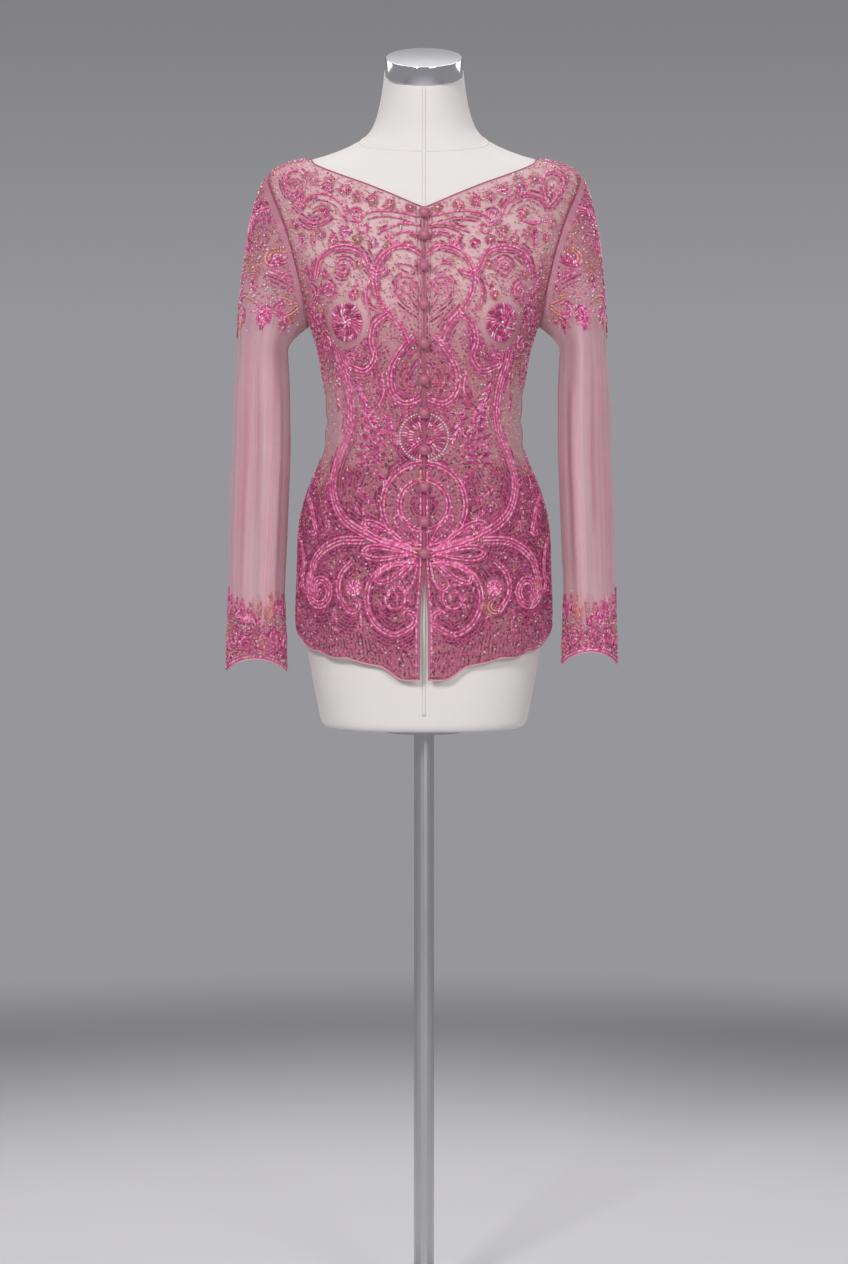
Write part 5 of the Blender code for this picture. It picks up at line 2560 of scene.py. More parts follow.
GLASS = (
    (0.0, (0.20, 0.012, 0.08)),
    (0.20, (0.48, 0.040, 0.18)),
    (0.42, (0.80, 0.13, 0.355)),
    (0.58, (0.94, 0.33, 0.53)),
    (0.65, (0.99, 0.66, 0.78)),
    (0.67, (0.50, 0.11, 0.14)),
    (0.82, (0.84, 0.40, 0.36)),
    (0.86, (0.94, 0.72, 0.78)),
    (1.0, (0.99, 0.93, 0.95)),
)

ROSE = ((0.84, 0.36, 0.42), (0.79, 0.31, 0.37))
PALE_ROSE = ((0.84, 0.56, 0.62), (0.79, 0.45, 0.52))
DEEP_ROSE = ((0.46, 0.16, 0.20), (0.40, 0.13, 0.17))
NET_CLOTH = NetFinish("dusty_rose_net", *ROSE, 0.62, sheen=0.3, cover=0.40)
SLEEVE_NET = NetFinish("sleeve_net", *PALE_ROSE, 0.62, sheen=0.6, cover=0.32, streak=0.42)
SEAM_NET = NetFinish("doubled_net", *DEEP_ROSE, 0.62, sheen=0.1, cover=0.8, streak=0.7)

TAPE_ROSE = ((0.36, 0.08, 0.15), (0.44, 0.11, 0.19))
THREAD_ROSE = ((0.66, 0.30, 0.38), (0.74, 0.38, 0.46))
SATIN_ROSE = ((0.40, 0.10, 0.17), (0.48, 0.14, 0.22))
NATURAL = ((0.78, 0.75, 0.73), (0.74, 0.71, 0.69))
EDGE_TAPE = WovenFinish("rose_edging", *TAPE_ROSE, 0.6, pitch=0.0007)
HEM_THREAD = WovenFinish("pale_hem_thread", *THREAD_ROSE, 0.6, sheen=0.2, pitch=0.0006)
SATIN = WovenFinish("rose_satin", *SATIN_ROSE, 0.38, sheen=0.5, pitch=0.0004, relief=0.00005)
LINEN = WovenFinish("form_linen", *NATURAL, 0.9, sheen=0.15, pitch=0.0009, scale=14.0)

PLATE = ((0.78, 0.78, 0.80), (0.70, 0.70, 0.72))
DULL_PLATE = ((0.42, 0.42, 0.43), (0.36, 0.36, 0.37))
STEEL_GREYS = ((0.62, 0.62, 0.64), (0.55, 0.55, 0.57))
CHROME = MetalFinish("cap_chrome", *PLATE, 0.07, metallic=1.0)
BRUSHED = MetalFinish("cap_top", *DULL_PLATE, 0.38, metallic=1.0, grain=(300.0, 4.0, 4.0))
STEEL = MetalFinish("stand_steel", *STEEL_GREYS, 0.24, metallic=1.0, marks=0.08)
PAPER = FloorFinish("floor_paper", (0.34, 0.335, 0.36), (0.72, 0.71, 0.73), 0.95)

DEEPEST_GLASS = (GLASS[0][1], GLASS[0][1])
BEADS = {
    Bead.BUGLE: GlassFinish("bugle_glass", *DEEPEST_GLASS, 0.18, 0.15, coat=1.0, stops=GLASS),
    Bead.DASH: GlassFinish("short_bugle_glass", *DEEPEST_GLASS, 0.20, 0.15, coat=1.0, stops=GLASS),
    Bead.SEED: GlassFinish("seed_glass", *DEEPEST_GLASS, 0.16, 0.15, coat=1.0, stops=GLASS),
    Bead.SEQUIN: GlassFinish("sequin_film", *DEEPEST_GLASS, 0.2, 0.25, coat=0.9, stops=GLASS),
    Bead.PEARL: GlassFinish("pearl", *DEEPEST_GLASS, 0.2, 0.1, coat=0.6, stops=GLASS),
}


class Finishes:
    """Every material, made once."""

    def __init__(self) -> None:
        """Makes the materials."""
        groups = Groups(weave_group(), mottle_group(), thread_group())
        self.net = NET_CLOTH.material(groups)
        self.sleeve_net = SLEEVE_NET.material(groups)
        self.seam_net = SEAM_NET.material(groups)
        self.edge = EDGE_TAPE.material(groups)
        self.hem = HEM_THREAD.material(groups)
        self.satin = SATIN.material(groups)
        self.linen = LINEN.material(groups)
        self.chrome = CHROME.material(groups)
        self.brushed = BRUSHED.material(groups)
        self.steel = STEEL.material(groups)
        self.paper = PAPER.material(groups)
        self.beads = {kind: finish.material(groups) for kind, finish in BEADS.items()}


# ---------------------------------------------------------------- the blouse


@dataclass
class BodyPanel:
    """A front or the back, with its beads and edges."""

    shape: BodyShape
    finishes: Finishes
    name: str
    facing: Facing
    sides: tuple[int, ...]
    flat: Pair
    area: float
    seed: int
    net_thick: float = 0.0004
    cells: tuple[int, int] = (96, 44)
    backed_from: float = 0.7
    backed_over: float = 0.28
    roll: Pair = (0.0016, 0.0013)
    fold: Pair = (0.0014, 0.0014)
    stitch: Pair = (0.0008, 0.0010)
    hem: Pair = (0.0018, 0.0012)
    seam: Pair = (0.0016, 0.0008)
    fold_way: float = 1e-6
    stitch_way: float = 0.022
    seam_way: float = 0.997
    hem_line: float = 3.0
    fan_ways: Pair = (0.02, 0.0215)
    fan_foot: float = 5.5
    fan_lean: float = 15.0
    fan_upright: float = 0.58
    fan_rise: Pair = (17.0, 13.0)
    edge_line: float = 3.4
    edge_runs: tuple[Pair, Pair] = ((0.6, 8.6), (8.8, 0.4))
    echoes: int = 8
    gap: float = 2.6
    spangles: float = 0.22

    def __post_init__(self) -> None:
        """Measures the panel and names what lies on it."""
        self.chart = BodyChart(self.shape, self.facing, self.sides)
        back = self.facing is Facing.BACK
        self.cover = Coverage(BACK_COVER, 210.0) if back else Coverage(FRONT_COVER, 200.0)
        self.neck = BACK_NECK_MOTIFS if back else NECK_MOTIFS

    def across(self, steps: int) -> Array:
        """Returns signed shares of the way round, from one edge of the panel to the other."""
        ways = np.linspace(0, 1, steps)
        return ways * self.sides[0] if len(self.sides) == 1 else np.concatenate((-ways[:0:-1], ways))

    def points(self, row: Array | float, way: Array | float, lift: float) -> tuple[Array, Array]:
        """Finds points of the panel.

        Args:
            row: row number from the hem up.
            way: signed shares of the way round.
            lift: distance past the outer face.

        Returns:
            The points and the outward directions there.
        """
        row, way = together(row, way)
        side = np.where(way < 0, -1.0, 1.0) if len(self.sides) == 2 else float(self.sides[0])
        angle, height = self.shape.panel(row, np.abs(way), self.facing)
        point, out = self.shape.cloth(angle, height, lift)
        if self.facing is Facing.FRONT:
            near = np.clip(1 - np.abs(way) * self.shape.front_columns / 2, 0, 1)
            point[..., 0] += self.shape.opening_edge(point[..., 2]) * near
        point[..., 0] *= side
        out[..., 0] *= side
        return point, out

    def sew_cloth(self) -> Object:
        """Makes the net panel.

        Returns:
            The cloth, which takes the place of its solid.
        """
        steps = np.linspace(0, self.shape.rows, self.cells[0] + 1)
        rows, ways = together(steps[:, None], self.across(self.cells[1] + 1)[None, :])
        outer, _ = self.points(rows, ways, 0.0)
        inner, _ = self.points(rows, ways, -self.net_thick)
        spots = self.chart.place(rows, np.abs(ways))
        side = np.sign(ways) + (ways == 0)
        flat = spots * MM * np.stack((side, np.ones(side.shape)), -1)
        backing_and_fold_shade = (self.cover(spots.reshape(-1, 2)) - self.backed_from) / self.backed_over
        backing_and_fold_shade = np.clip(backing_and_fold_shade, 0, 1).reshape(side.shape)
        mesh = shell_mesh(f"net_{self.name}", outer, inner, flat, False, backing_and_fold_shade)
        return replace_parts(add_piece(f"net_{self.name}", mesh, self.finishes.net), self.name)

    def edge(self, row: Array | float, way: Array | float, size: Pair, joined: Joined) -> None:
        """Adds a cord along an edge of the panel.

        Args:
            row: row numbers along the edge.
            way: signed shares of the way round.
            size: the cord's width and thickness.
            joined: what it is added to.
        """
        point, out = self.points(row, way, 0.0)
        joined.ribbon(point - out * self.net_thick / 2, out, *size)

    def sew_edges(self) -> list[Object]:
        """Makes the rolled neckline, the front's folded edge, the hem's thread and the seams.

        Returns:
            The edging and the hem.
        """
        top, low = Joined(), Joined()
        ways = self.across(90)
        rows = np.linspace(0, self.shape.rows, 160)
        armhole = self.shape.side_rows + self.shape.armhole_rows
        runs = (
            rows[rows <= self.shape.side_rows],
            np.linspace(self.shape.side_rows, armhole, 60),
            np.linspace(armhole, self.shape.rows, 16),
        )
        self.edge(self.shape.rows, ways, self.roll, top)
        if self.facing is Facing.FRONT:
            self.edge(rows, self.fold_way * self.sides[0], self.fold, top)
            self.edge(rows[:-2], self.stitch_way * self.sides[0], self.stitch, top)
        for side in self.sides:
            for run in runs:
                self.edge(run, self.seam_way * side, self.seam, top)
        self.edge(0.0, ways, self.hem, low)
        return [
            top.piece(f"edging_{self.name}", self.finishes.edge, "net"),
            low.piece(f"hem_{self.name}", self.finishes.hem, "net"),
        ]

    def sew_fan(self, sewing: Sewing, side: int) -> None:
        """Sews the fan of short lines that stands on half a hem and follows its scallops.

        Args:
            sewing: the panel's beads.
            side: 1 for the +X half, -1 for the other.
        """
        start, step = self.fan_ways
        for way in np.arange(start, 0.985, step):
            foot = self.chart.place(np.array(0.0), np.array(way)) + (0, self.fan_foot)
            t = np.linspace(0, 1, 12)[:, None]
            wave = abs(math.sin(math.pi * self.shape.hem_scallops * way))
            rise = self.fan_rise[0] + self.fan_rise[1] * wave
            lean = self.fan_lean * (self.fan_upright - way)
            path = foot + np.concatenate((lean * t * t, rise * t), -1)
            sewing.string(path * (side, 1), Line.FINE)

    def sew_opening(self, sewing: Sewing, side: int) -> None:
        """Sews the lines along a front's edge: a rope up to the bust, then a finer line.

        Args:
            sewing: the panel's beads.
            side: 1 for the +X half, -1 for the other.
        """
        (low, turn), (start, short) = self.edge_runs
        for first, last, line in ((low, turn, Line.ROPE), (start, self.shape.rows - short, Line.FINE)):
            middle = self.chart.place(np.linspace(first, last, 200), np.zeros(200))
            middle[:, 0] = self.shape.opening_edge(middle[:, 1] * MM) / MM + self.edge_line
            sewing.string(middle * (side, 1), line)

    def border(self, sewing: Sewing) -> None:
        """Sews the lines along the panel's edges.

        Args:
            sewing: the panel's beads.
        """
        for side in self.sides:
            hem = self.chart.place(np.zeros(90), np.linspace(0.012, 0.985, 90))
            sewing.string((hem + (0, self.hem_line)) * (side, 1), Line.SEED)
            self.sew_fan(sewing, side)
            if self.facing is Facing.FRONT:
                self.sew_opening(sewing, side)

    def sew_beads(self) -> list[Object]:
        """Sews the panel's design and the loose beads round it.

        Returns:
            A piece of each kind of bead.
        """
        sewing = Sewing(self.chart, self.seed, self.sides, deepen=0.13)
        sewing.sew((*MEDALLION, *self.neck, *BUST_MOTIFS, *WAIST_MOTIFS, *HIP_MOTIFS))
        self.border(sewing)
        sewing.echo(self.echoes, self.cover)
        sewing.fill(self.gap, self.cover, self.spangles)
        return sewing.pieces(self.name, self.finishes)

    def build(self) -> None:
        """Makes the panel with everything on it."""
        cloth = self.sew_cloth()
        others = [*self.sew_edges(), *self.sew_beads()]


def sway(number: int, size: float, pace: float) -> float:
    """Returns how far one of a row of like motifs strays, so that no two look stamped."""
    return size * math.sin(number * pace)


@dataclass
class Sleeve:
    """A sleeve, with its beads and edges."""

    shape: SleeveShape
    finishes: Finishes
    name: str
    flat: Pair
    area: float
    seed: int
    net_thick: float = 0.0004
    cells: tuple[int, int] = (110, 84)
    cuff: Pair = (0.0018, 0.0012)
    seam: Pair = (0.0010, 0.0006)
    allowance: Pair = (0.0060, 0.0004)
    allowance_lift: float = -0.0009
    allowance_reach: float = 0.045
    seam_reach: float = 0.012
    seam_turn: float = 0.05
    mean_width: float = 0.088
    fold_slope: float = 0.012
    fold_share: float = 0.6
    backed: float = 0.8
    backed_from: float = 0.4
    backed_over: float = 0.6
    sprig_step: float = 17.0
    sprig_foot: float = 828
    sprig_tall: float = 20
    foot_sway: Pair = (7, 1.3)
    tall_sway: Pair = (14, 1.9)
    lean_sway: Pair = (16, 2.3)
    cuff_lines: Pair = (3.2, 7.2)
    ring_step: float = 22.0
    ring_height: float = 806
    ring_sway: Pair = (4, 2.0)
    echoes: int = 5
    gap: float = 2.6
    spangles: float = 0.5
    rests_on: str = "front_left"

    def thickness(self, turns: Array, reach: Array, flat: Array) -> Array:
        """Finds how thickly the cloth is backed behind the beads, and the painted shade, a deeper and denser
        net, on the flanks of its folds where they turn edge on.

        Args:
            turns: row of angles round the sleeve.
            reach: column of reaches down it.
            flat: grid of its places on the chart, in metres.

        Returns:
            A value from 0 to 1 at each point of the grid.
        """
        sewn = (SLEEVE_SEWN(flat.reshape(-1, 2) / MM) - self.backed_from) / self.backed_over
        sewn = self.backed * np.clip(sewn, 0, 1).reshape(flat.shape[:2])
        # The folds' flanks get painted shade: the net there is drawn deeper and denser.
        slope = np.gradient(self.shape.pushed(turns, np.clip(reach - 1, 0, 1)), turns[0], axis=1)
        return np.maximum(sewn, np.clip(np.abs(slope) / self.fold_slope, 0, 1) * self.fold_share)

    def sew_cloth(self) -> Object:
        """Makes the net tube.

        Returns:
            The cloth, which takes the place of its solid.
        """
        head = self.cells[0] // 3
        upper, lower = np.linspace(0, 1, head + 1), np.linspace(1, 2, self.cells[0] - head + 1)
        reach = np.concatenate((upper, lower[1:]))[:, None]
        turns = np.linspace(0, FULL, self.cells[1] + 1)[None, :]
        outer, _ = self.shape.cloth(turns, reach)
        inner, _ = self.shape.cloth(turns, reach, -self.net_thick)
        flat = np.stack(together(turns * SleeveChart.radius * MM, outer[..., 2]), axis=-1)
        backing_and_fold_shade = self.thickness(turns, reach, flat)
        mesh = shell_mesh(f"net_{self.name}", outer, inner, flat, True, backing_and_fold_shade)
        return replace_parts(add_piece(f"net_{self.name}", mesh, self.finishes.sleeve_net), self.name)

    def sew_edges(self) -> list[Object]:
        """Makes the armhole seam, the cuff's thread and the seam down the inner side.

        Returns:
            The edging, the doubled net and the hem.
        """
        top, low, doubled = Joined(), Joined(), Joined()
        turns = np.linspace(0, FULL, 121)
        point, out = self.shape.cloth(turns, self.allowance_reach, self.allowance_lift)
        doubled.ribbon(point, out, *self.allowance, ring=True)
        for reach, size, joined in ((self.seam_reach, self.seam, top), (2.0, self.cuff, low)):
            point, out = self.shape.cloth(turns, reach)
            joined.ribbon(point, out, *size, ring=True)
        reach = np.linspace(0.03, 1.99, 120)
        turn = math.pi + self.seam_turn
        point, out = self.shape.cloth(turn, reach)
        top.ribbon(point, out, *self.seam)
        beside = turn + self.allowance[0] / self.mean_width
        point, out = self.shape.cloth(beside, reach, self.allowance_lift)
        doubled.ribbon(point, out, *self.allowance)
        return [
            top.piece(f"edging_{self.name}", self.finishes.edge, "net"),
            doubled.piece(f"doubled_{self.name}", self.finishes.seam_net, "net"),
            low.piece(f"hem_{self.name}", self.finishes.hem, "net"),
        ]

    def sew_cuff(self, sewing: Sewing, around: float) -> None:
        """Sews the cuff: sprigs that stand on it, the lines along its edge, and a row of circles.

        Args:
            sewing: the sleeve's beads.
            around: the way round the chart.
        """
        for number, spot in enumerate(np.arange(0, around - 4, self.sprig_step)):
            tall = self.sprig_tall + abs(sway(number, *self.tall_sway))
            heading = 90 + sway(number, *self.lean_sway)
            foot = self.sprig_foot + sway(number, *self.foot_sway)
            sewing.sew((Fan(float(spot), foot, heading, tall, 2 + number % 2, 36),))
        turns = np.linspace(0, around, 200)
        low = self.shape.cuff_edge(turns / SleeveChart.radius) / MM
        for raised, line in zip(self.cuff_lines, (Line.ROPE, Line.SEED)):
            sewing.string(np.stack((turns, low + raised), -1), line)
        for number, spot in enumerate(np.arange(8, around - 8, self.ring_step)):
            height = self.ring_height + sway(number, *self.ring_sway)
            sewing.sew((Ring(float(spot), height, 9, 3, 90, 400 * (-1) ** number),))

    def sew_beads(self) -> list[Object]:
        """Sews the head, the sprigs on the upper arm and the cuff.

        Returns:
            A piece of each kind of bead.
        """
        around = FULL * SleeveChart.radius
        sewing = Sewing(SleeveChart(self.shape), self.seed, (1,), around, 0.22)
        sewing.sew((*HEAD_MOTIFS, *ARM_SPRIGS))
        self.sew_cuff(sewing, around)
        sewing.echo(self.echoes, SLEEVE_SEWN)
        sewing.fill(self.gap, SLEEVE_SEWN, self.spangles)
        return sewing.pieces(self.name, self.finishes)

    def build(self) -> None:
        """Makes the sleeve with everything on it."""
        cloth = self.sew_cloth()
        others = [*self.sew_edges(), *self.sew_beads()]


BUTTON_HEIGHTS = (
    1.3090, 1.2826, 1.2461, 1.2027, 1.1607, 1.1190, 1.0783, 1.0328, 0.9896, 0.9500, 0.9132
)


@dataclass
class Fastenings:
    """The covered buttons and their corded loops."""

    shape: BodyShape
    finishes: Finishes
    heights: tuple[float, ...] = BUTTON_HEIGHTS
    radius: float = 0.0066
    depth: float = 0.0054
    standoff: float = 0.0026
    gathers: int = 12
    gather_depth: float = 0.035
    gather_from: float = 0.2
    shank_sink: float = 0.0012
    shank_radius: float = 0.0016
    shank_side: float = 0.0026
    shank_gap: float = 0.0003
    cord_radius: float = 0.0006
    cord_lift: float = 0.00035
    cord_root: float = 0.0034
    cord_half: float = 0.0027
    cord_reach: float = 0.0050

    def front_point(self, x: float, height: float) -> tuple[Vector, Vector]:
        """Finds a point of the front.

        Args:
            x: its distance from the middle line.
            height: its height.

        Returns:
            The point and its outward direction.
        """
        share = self.shape.level["power"](height) / 2
        angle = np.arcsin((x / self.shape.level["half_width"](height)) ** share)
        point, out = self.shape.cloth(angle, np.array(height))
        return Vector(point), Vector(out)

    def seat(self, height: float) -> Matrix:
        """Finds where a button sits.

        Args:
            height: the button's height.

        Returns:
            Its frame: Z straight out of the cloth, and X across it.
        """
        foot, normal = self.front_point(self.shank_side, height)
        out = Vector((0, normal.y, normal.z)).normalized()
        across = Vector((1, 0, 0))
        proud = 0.0
        inner, outer = self.shank_side - self.shank_radius, self.shank_side + self.shank_radius
        for x in (inner, outer, self.cord_reach):
            for up in (-self.cord_half, self.cord_half):
                point, _ = self.front_point(x, height + up)
                proud = max(proud, (point - foot).dot(out))
        turned = Matrix((across, out.cross(across), out)).transposed().to_4x4()
        return Matrix.Translation(Vector((0, foot.y, foot.z)) + out * proud) @ turned

    def model_button(self) -> Object:
        """Models one button at the origin, by hand: a ball, its flattened back and its shank.

        Returns:
            The button.
        """
        deselect()
        middle = self.standoff + self.depth
        bpy.ops.mesh.primitive_uv_sphere_add(
            segments=32, ring_count=18, radius=self.radius, location=(0, 0, middle)
        )
        button = bpy.context.object
        bpy.ops.object.transform_apply(location=True, rotation=True, scale=True)
        squash = self.depth / self.radius
        for vert in button.data.vertices:
            vert.co.z = middle + (vert.co.z - middle) * squash
            low = (middle - vert.co.z) / self.depth
            if low > self.gather_from:
                turn = math.atan2(vert.co.y, vert.co.x)
                share = min(1.0, (low - self.gather_from) / 0.4)
                gather = 1 + self.gather_depth * math.cos(self.gathers * turn) * share
                vert.co.x *= gather
                vert.co.y *= gather
        bpy.ops.mesh.primitive_cylinder_add(
            vertices=14,
            radius=self.shank_radius,
            depth=self.standoff + self.shank_sink - self.shank_gap,
            location=(self.shank_side, 0, (self.standoff + self.shank_sink + self.shank_gap) / 2),
        )
        shank = bpy.context.object
        bpy.ops.object.transform_apply(location=True, rotation=True, scale=True)
        button.select_set(True)
        shank.select_set(True)
        bpy.context.view_layer.objects.active = button
        bpy.ops.object.join()
        return button

    def place_buttons(self, seats: Sequence[Matrix]) -> Object:
        """Places a copy of the button at each seat and joins them.

        Args:
            seats: each button's frame.

        Returns:
            The buttons.
        """
        pattern = self.model_button()
        copies = []
        for seat in seats:
            copy = pattern.copy()
            copy.data = pattern.data.copy()
            copy.data.transform(seat)
            bpy.context.scene.collection.objects.link(copy)
            copies.append(copy)
        bpy.data.objects.remove(pattern)
        deselect()
        for copy in copies:
            copy.select_set(True)
        bpy.context.view_layer.objects.active = copies[0]
        bpy.ops.object.join()
        buttons = copies[0]
        buttons.name = buttons.data.name = "covered_buttons"
        buttons.data.materials.clear()
        buttons.data.materials.append(self.finishes.satin)
        buttons.data.shade_smooth()
        dress(buttons)
        return buttons

    def add_loop(self, loops: Joined, seat: Matrix) -> None:
        """Adds one loop, from the other front's edge round the shank.

        Args:
            loops: what it is added to.
            seat: its button's frame.
        """
        turn = np.linspace(0, math.pi, 17)
        reach = self.shank_side + (self.cord_reach - self.shank_side) * np.sin(turn)
        leg = np.array((-self.cord_root, -self.cord_root / 2, 0.0))
        x = np.concatenate((leg, reach, leg[::-1]))
        half = np.full(3, self.cord_half)
        y = np.concatenate((half, self.cord_half * np.cos(turn), -half))
        flat = np.stack((x, y, np.full(len(x), self.cord_radius + self.cord_lift)), -1)
        turned = np.array(seat.to_3x3())
        path = flat @ turned.T + np.array(seat.translation)
        wide = 2 * self.cord_radius
        loops.ribbon(path, np.tile(turned[:, 2], (len(path), 1)), wide, wide, 10)

    def build(self) -> None:
        """Makes a button and a loop at each height."""
        seats = [self.seat(height) for height in self.heights]
        numbers = range(1, len(self.heights) + 1)
        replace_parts(self.place_buttons(seats), *(f"button_{n:02d}" for n in numbers))
        loops = Joined()
        for seat in seats:
            self.add_loop(loops, seat)
        piece = loops.piece("button_loops", self.finishes.satin, "satin")
        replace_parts(piece, *(f"loop_{n:02d}" for n in numbers))


# ---------------------------------------------------------------- the dress form


def deselect() -> None:
    """Deselects everything."""
    for item in bpy.context.selected_objects:
        item.select_set(False)


@dataclass
class DressForm:
    """The form, its cap and its stand."""

    shape: BodyShape
    finishes: Finishes
    pole: Object
    neck_tilt: float = math.radians(20.3)
    tilt_start: float = 1.400
    neck_top: float = 1.4848
    cap_radius: float = 0.0460
    cap_height: float = 0.0225
    cap_edge: float = 0.0012
    cap_gap: float = 0.0003
    base_radius: float = 0.160
    base_thick: float = 0.008
    hub_radius: float = 0.024
    hub_height: float = 0.030
    base_edge: float = 0.0022
    seam_width: float = 0.0052
    neck_seam_width: float = 0.0024
    seam_thick: float = 0.0008
    seam_lift: float = 0.0001
    seam_ends: Pair = (0.002, 0.72)
    neck_foot: Pair = (1.4055, 0.020)
    bottom: float = 0.700
    bottom_round: float = 0.012
    cells: tuple[int, int] = (130, 112)

    def dress_pole(self) -> None:
        """Gives the pole its finish."""
        for slot in self.pole.material_slots:
            slot.material = self.finishes.steel

    def cover_torso(self) -> None:
        """Makes the form's smooth cover, rounded under its lower edge."""
        bend = np.linspace(0, QUARTER, 7)[:, None]
        side = np.linspace(self.bottom + self.bottom_round, self.neck_top, self.cells[0])[1:, None]
        heights = np.concatenate((self.bottom + self.bottom_round * (1 - np.cos(bend)), side))
        inset = np.concatenate((0.7 * self.bottom_round * (1 - np.sin(bend)), np.zeros(side.shape)))
        turns = FULL * np.arange(self.cells[1])[None, :] / self.cells[1]
        points, _ = self.on_form(*np.broadcast_arrays(turns, heights), -inset[..., None])
        rows, columns = points.shape[:2]
        ring = tuple(range(columns))
        ends = [ring, tuple(n + (rows - 1) * columns for n in ring)]
        faces = [*grid_faces(rows, columns, True).tolist(), *ends]
        mesh = bpy.data.meshes.new("linen_torso")
        mesh.from_pydata(points.reshape(-1, 3).tolist(), [], faces)
        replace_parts(add_piece("linen_torso", face_outwards(mesh), self.finishes.linen), "form_torso")

    def on_form(self, angle: Array, height: Array, lift: float) -> tuple[Array, Array]:
        """Finds points over the form, which leans at the neck.

        Args:
            angle: angle round the form.
            height: height on the form.
            lift: distance past its surface.

        Returns:
            The points and the outward directions there.
        """
        point = self.shape.form(angle, height, self.shape.bust_spread[0])
        out = self.shape.outward(point)
        share = np.clip((height - self.tilt_start) / (self.neck_top - self.tilt_start), 0, 1)
        point = point + out * lift
        point[..., 2] += point[..., 1] * math.tan(self.neck_tilt) * share**1.3
        return point, out

    def sew_seams(self) -> None:
        """Makes the flat seams of the form's cover: down front and back, and round the neck's foot."""
        joined = Joined()
        short, end = self.seam_ends
        heights = np.linspace(self.neck_top - short, end, 160)
        for angle in (0.0, math.pi):
            point, out = self.on_form(np.full(len(heights), angle), heights, self.seam_lift)
            joined.ribbon(point, out, self.seam_width, self.seam_thick)
        turns = np.linspace(0, FULL, 121)
        level, dip = self.neck_foot
        point, out = self.on_form(turns, level - dip * np.cos(turns), self.seam_lift)
        joined.ribbon(point, out, self.neck_seam_width, self.seam_thick, ring=True)
        joined.piece("form_seams", self.finishes.linen, "linen")

    def build_cap(self) -> None:
        """Models the plated cap: a drum with a rounded edge and a brushed top."""
        deselect()
        top = FORM[-1]
        middle = (top.back - top.front) / 2
        up = Vector((0, -math.sin(self.neck_tilt), math.cos(self.neck_tilt)))
        seat = Vector((0, middle, self.neck_top + middle * math.tan(self.neck_tilt)))
        place = seat + up * (self.cap_gap + self.cap_height / 2)
        bpy.ops.mesh.primitive_cylinder_add(
            vertices=96,
            radius=self.cap_radius,
            depth=self.cap_height,
            location=place,
            rotation=(self.neck_tilt, 0, 0),
        )
        cap = bpy.context.object
        cap.name = cap.data.name = "neck_cap_plated"
        bpy.ops.object.transform_apply(location=True, rotation=True, scale=True)
        self.round_edges(cap, self.cap_edge)
        cap.data.materials.append(self.finishes.chrome)
        cap.data.materials.append(self.finishes.brushed)
        for face in cap.data.polygons:
            face.material_index = int(face.normal.dot(up) > 0.99 and face.area > 0.001)
        dress(cap)
        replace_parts(cap, "neck_cap")

    def build_base(self) -> None:
        """Models the round base with its hub."""
        deselect()
        bpy.ops.mesh.primitive_cylinder_add(
            vertices=128,
            radius=self.base_radius,
            depth=self.base_thick,
            location=(0, 0, self.base_thick / 2),
        )
        base = bpy.context.object
        base.name = base.data.name = "stand_foot"
        bpy.ops.object.transform_apply(location=True, rotation=True, scale=True)
        bpy.ops.object.mode_set(mode="EDIT")
        bpy.ops.mesh.select_mode(type="FACE")
        bpy.ops.mesh.select_all(action="DESELECT")
        bpy.ops.object.mode_set(mode="OBJECT")
        for face in base.data.polygons:
            face.select = face.normal.z > 0.99
        bpy.ops.object.mode_set(mode="EDIT")
        bpy.ops.mesh.inset(thickness=self.base_radius - self.hub_radius, depth=0)
        rise = {"value": (0, 0, self.hub_height - self.base_thick)}
        bpy.ops.mesh.extrude_region_move(TRANSFORM_OT_translate=rise)
        bpy.ops.object.mode_set(mode="OBJECT")
        self.round_edges(base, self.base_edge)
        base.data.materials.append(self.finishes.steel)
        dress(base)
        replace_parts(base, "stand_base")

    @staticmethod
    def round_edges(piece: Object, width: float) -> None:
        """Rounds a piece's sharp edges and applies the modifier.

        Args:
            piece: the piece.
            width: how wide the rounding is.
        """
        bevel = piece.modifiers.new("rounding", "BEVEL")
        bevel.width = width
        bevel.segments = 3
        bevel.limit_method = "ANGLE"
        bevel.angle_limit = math.radians(40)
        deselect()
        piece.select_set(True)
        bpy.context.view_layer.objects.active = piece
        bpy.ops.object.modifier_apply(modifier=bevel.name)
        bpy.ops.object.shade_smooth_by_angle(angle=math.radians(30))

    def build(self) -> None:
        """Dresses the torso and models the rest."""
        self.dress_pole()
        self.cover_torso()
        self.sew_seams()
        self.build_cap()
        self.build_base()


# ---------------------------------------------------------------- studio


@dataclass
class Lamp:
    """A soft square light."""

    name: str
    place: Triple
    target: Triple
    size: float
    power: float

    def build(self) -> None:
        """Adds the light."""
        data = bpy.data.lights.new(self.name, "AREA")
        data.shape = "SQUARE"
        data.size = self.size
        data.energy = self.power
        lamp = bpy.data.objects.new(self.name, data)
        bpy.context.scene.collection.objects.link(lamp)
        lamp.location = self.place
        lamp.rotation_euler = (Vector(self.target) - Vector(self.place)).to_track_quat("-Z", "Y").to_euler()


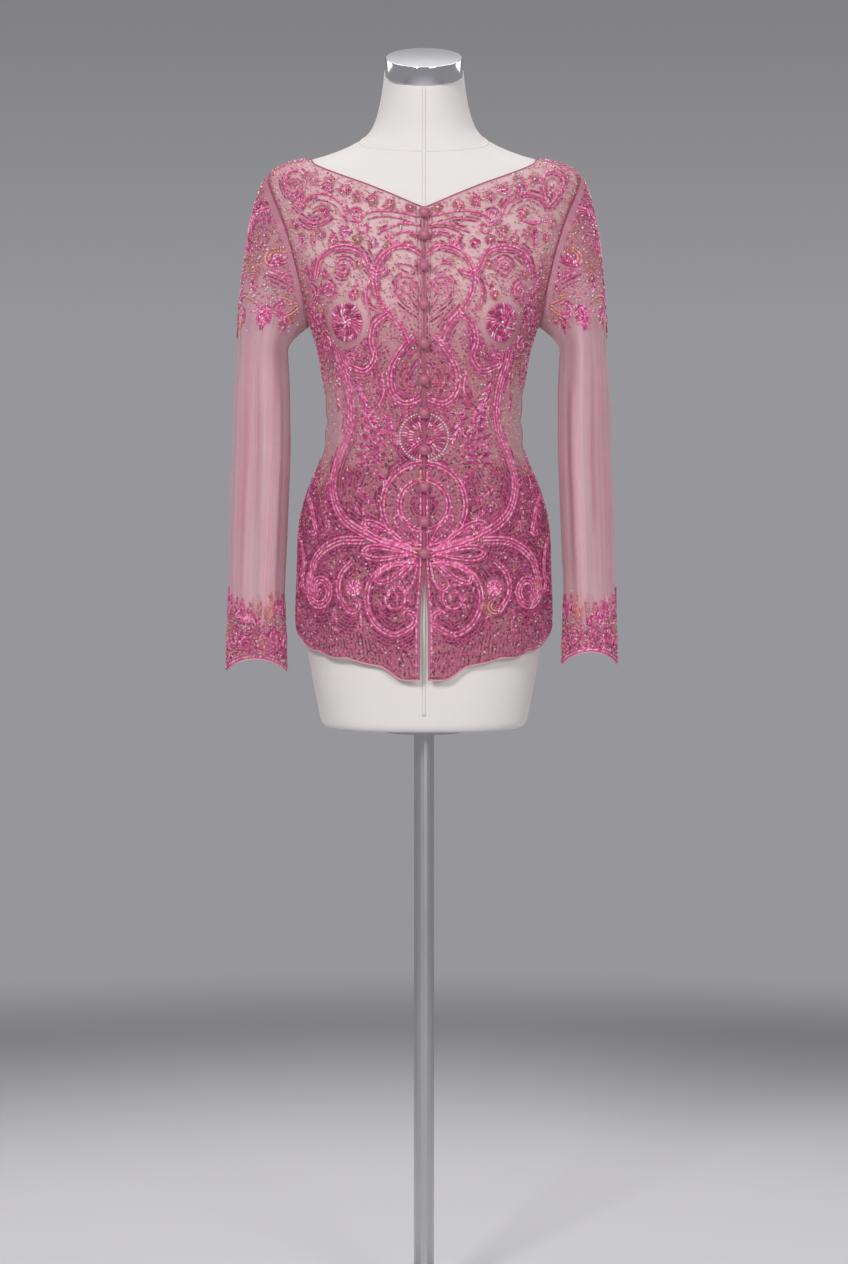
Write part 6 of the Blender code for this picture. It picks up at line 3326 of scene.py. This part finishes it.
@dataclass
class Studio:
    """The floor, the lights and the camera."""

    finishes: Finishes
    floor_radius: float = 3.0
    floor_sides: int = 96
    camera_place: Triple = (0.0, -4.2, 1.05)
    camera_pitch: float = math.radians(3.2)
    lens: float = 99.7
    # The surround's grey turns to the darker grey above over the horizon band: painted shade on the backdrop's
    # upper part.
    surround: Triple = (0.31, 0.305, 0.325)
    above: Triple = (0.20, 0.198, 0.205)
    horizon: Pair = (0.03, 0.14)
    lamps: tuple[Lamp, ...] = (
        Lamp("key", (-1.2, -3.3, 2.5), (0, 0, 1.1), 0.7, 74),
        Lamp("fill", (1.4, -3.3, 1.9), (0, 0, 1.0), 1.0, 42),
        Lamp("top", (0, 0.9, 3.4), (0, 0.9, 0), 2.0, 30),
        Lamp("rim_left", (-1.7, 1.0, 1.9), (0, 0, 1.1), 1.0, 8),
        Lamp("rim_right", (1.7, 1.0, 1.9), (0, 0, 1.1), 1.0, 8),
    )

    def build_floor(self) -> None:
        """Makes a round sheet of paper under everything."""
        turn = FULL * np.arange(self.floor_sides) / self.floor_sides
        mesh = bpy.data.meshes.new("floor")
        edge = [(self.floor_radius * math.cos(t), self.floor_radius * math.sin(t), 0.0) for t in turn]
        mesh.from_pydata(edge, [], [tuple(range(self.floor_sides))])
        mesh.materials.append(self.finishes.paper)
        sheet = bpy.data.objects.new("floor", mesh)
        bpy.context.scene.collection.objects.link(sheet)

    def build(self) -> None:
        """Makes the floor, lights, surround and camera."""
        self.build_floor()
        for lamp in self.lamps:
            lamp.build()
        world = bpy.data.worlds.new("studio")
        world.use_nodes = True
        nodes = Nodes(world.node_tree)
        # Painted shade: the backdrop is darker above the horizon than below it.
        height = nodes.add("SeparateXYZ", {0: nodes.add("TexCoord").outputs["Generated"]}).outputs[2]
        share = nodes.add("MapRange", {0: height, 1: self.horizon[0], 2: self.horizon[1]}).outputs[0]
        colour = nodes.mix(share, self.surround, self.above)
        world.node_tree.links.new(colour, world.node_tree.nodes["Background"].inputs[0])
        bpy.context.scene.world = world
        bpy.context.scene.view_settings.view_transform = "Standard"
        data = bpy.data.cameras.new("camera")
        data.lens = self.lens
        data.sensor_width = data.sensor_height = 36
        data.sensor_fit = "AUTO"
        camera = bpy.data.objects.new("camera", data)
        bpy.context.scene.collection.objects.link(camera)
        camera.location = self.camera_place
        camera.rotation_euler = (QUARTER - self.camera_pitch, 0, 0)
        bpy.context.scene.camera = camera


# ---------------------------------------------------------------- the whole object


def main() -> None:
    """Loads the frame and builds everything on it."""
    logging.basicConfig(level=logging.INFO, format="%(message)s")
    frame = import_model()
    finishes = Finishes()
    body = BodyShape()
    Studio(finishes).build()
    DressForm(body, finishes, frame["nodes"]["stand_pole"]).build()
    front, back = (0.225, 0.62), (0.45, 0.56)
    BodyPanel(body, finishes, "front_left", Facing.FRONT, (1,), front, 0.107, 11).build()
    BodyPanel(body, finishes, "front_right", Facing.FRONT, (-1,), front, 0.107, 12).build()
    BodyPanel(body, finishes, "back", Facing.BACK, (1, -1), back, 0.20, 13).build()
    left = SleeveShape(body, 1, 0.96, -0.0006, 0.7770, 0.0)
    right = SleeveShape(body, -1, 1.045, 0.0016, 0.7685, 11.0)
    tube = (0.36, 0.60)
    Sleeve(left, finishes, "sleeve_left", tube, 0.15, 14).build()
    Sleeve(right, finishes, "sleeve_right", tube, 0.15, 15, rests_on="front_right").build()
    Fastenings(body, finishes).build()


if __name__ == "__main__":
    main()
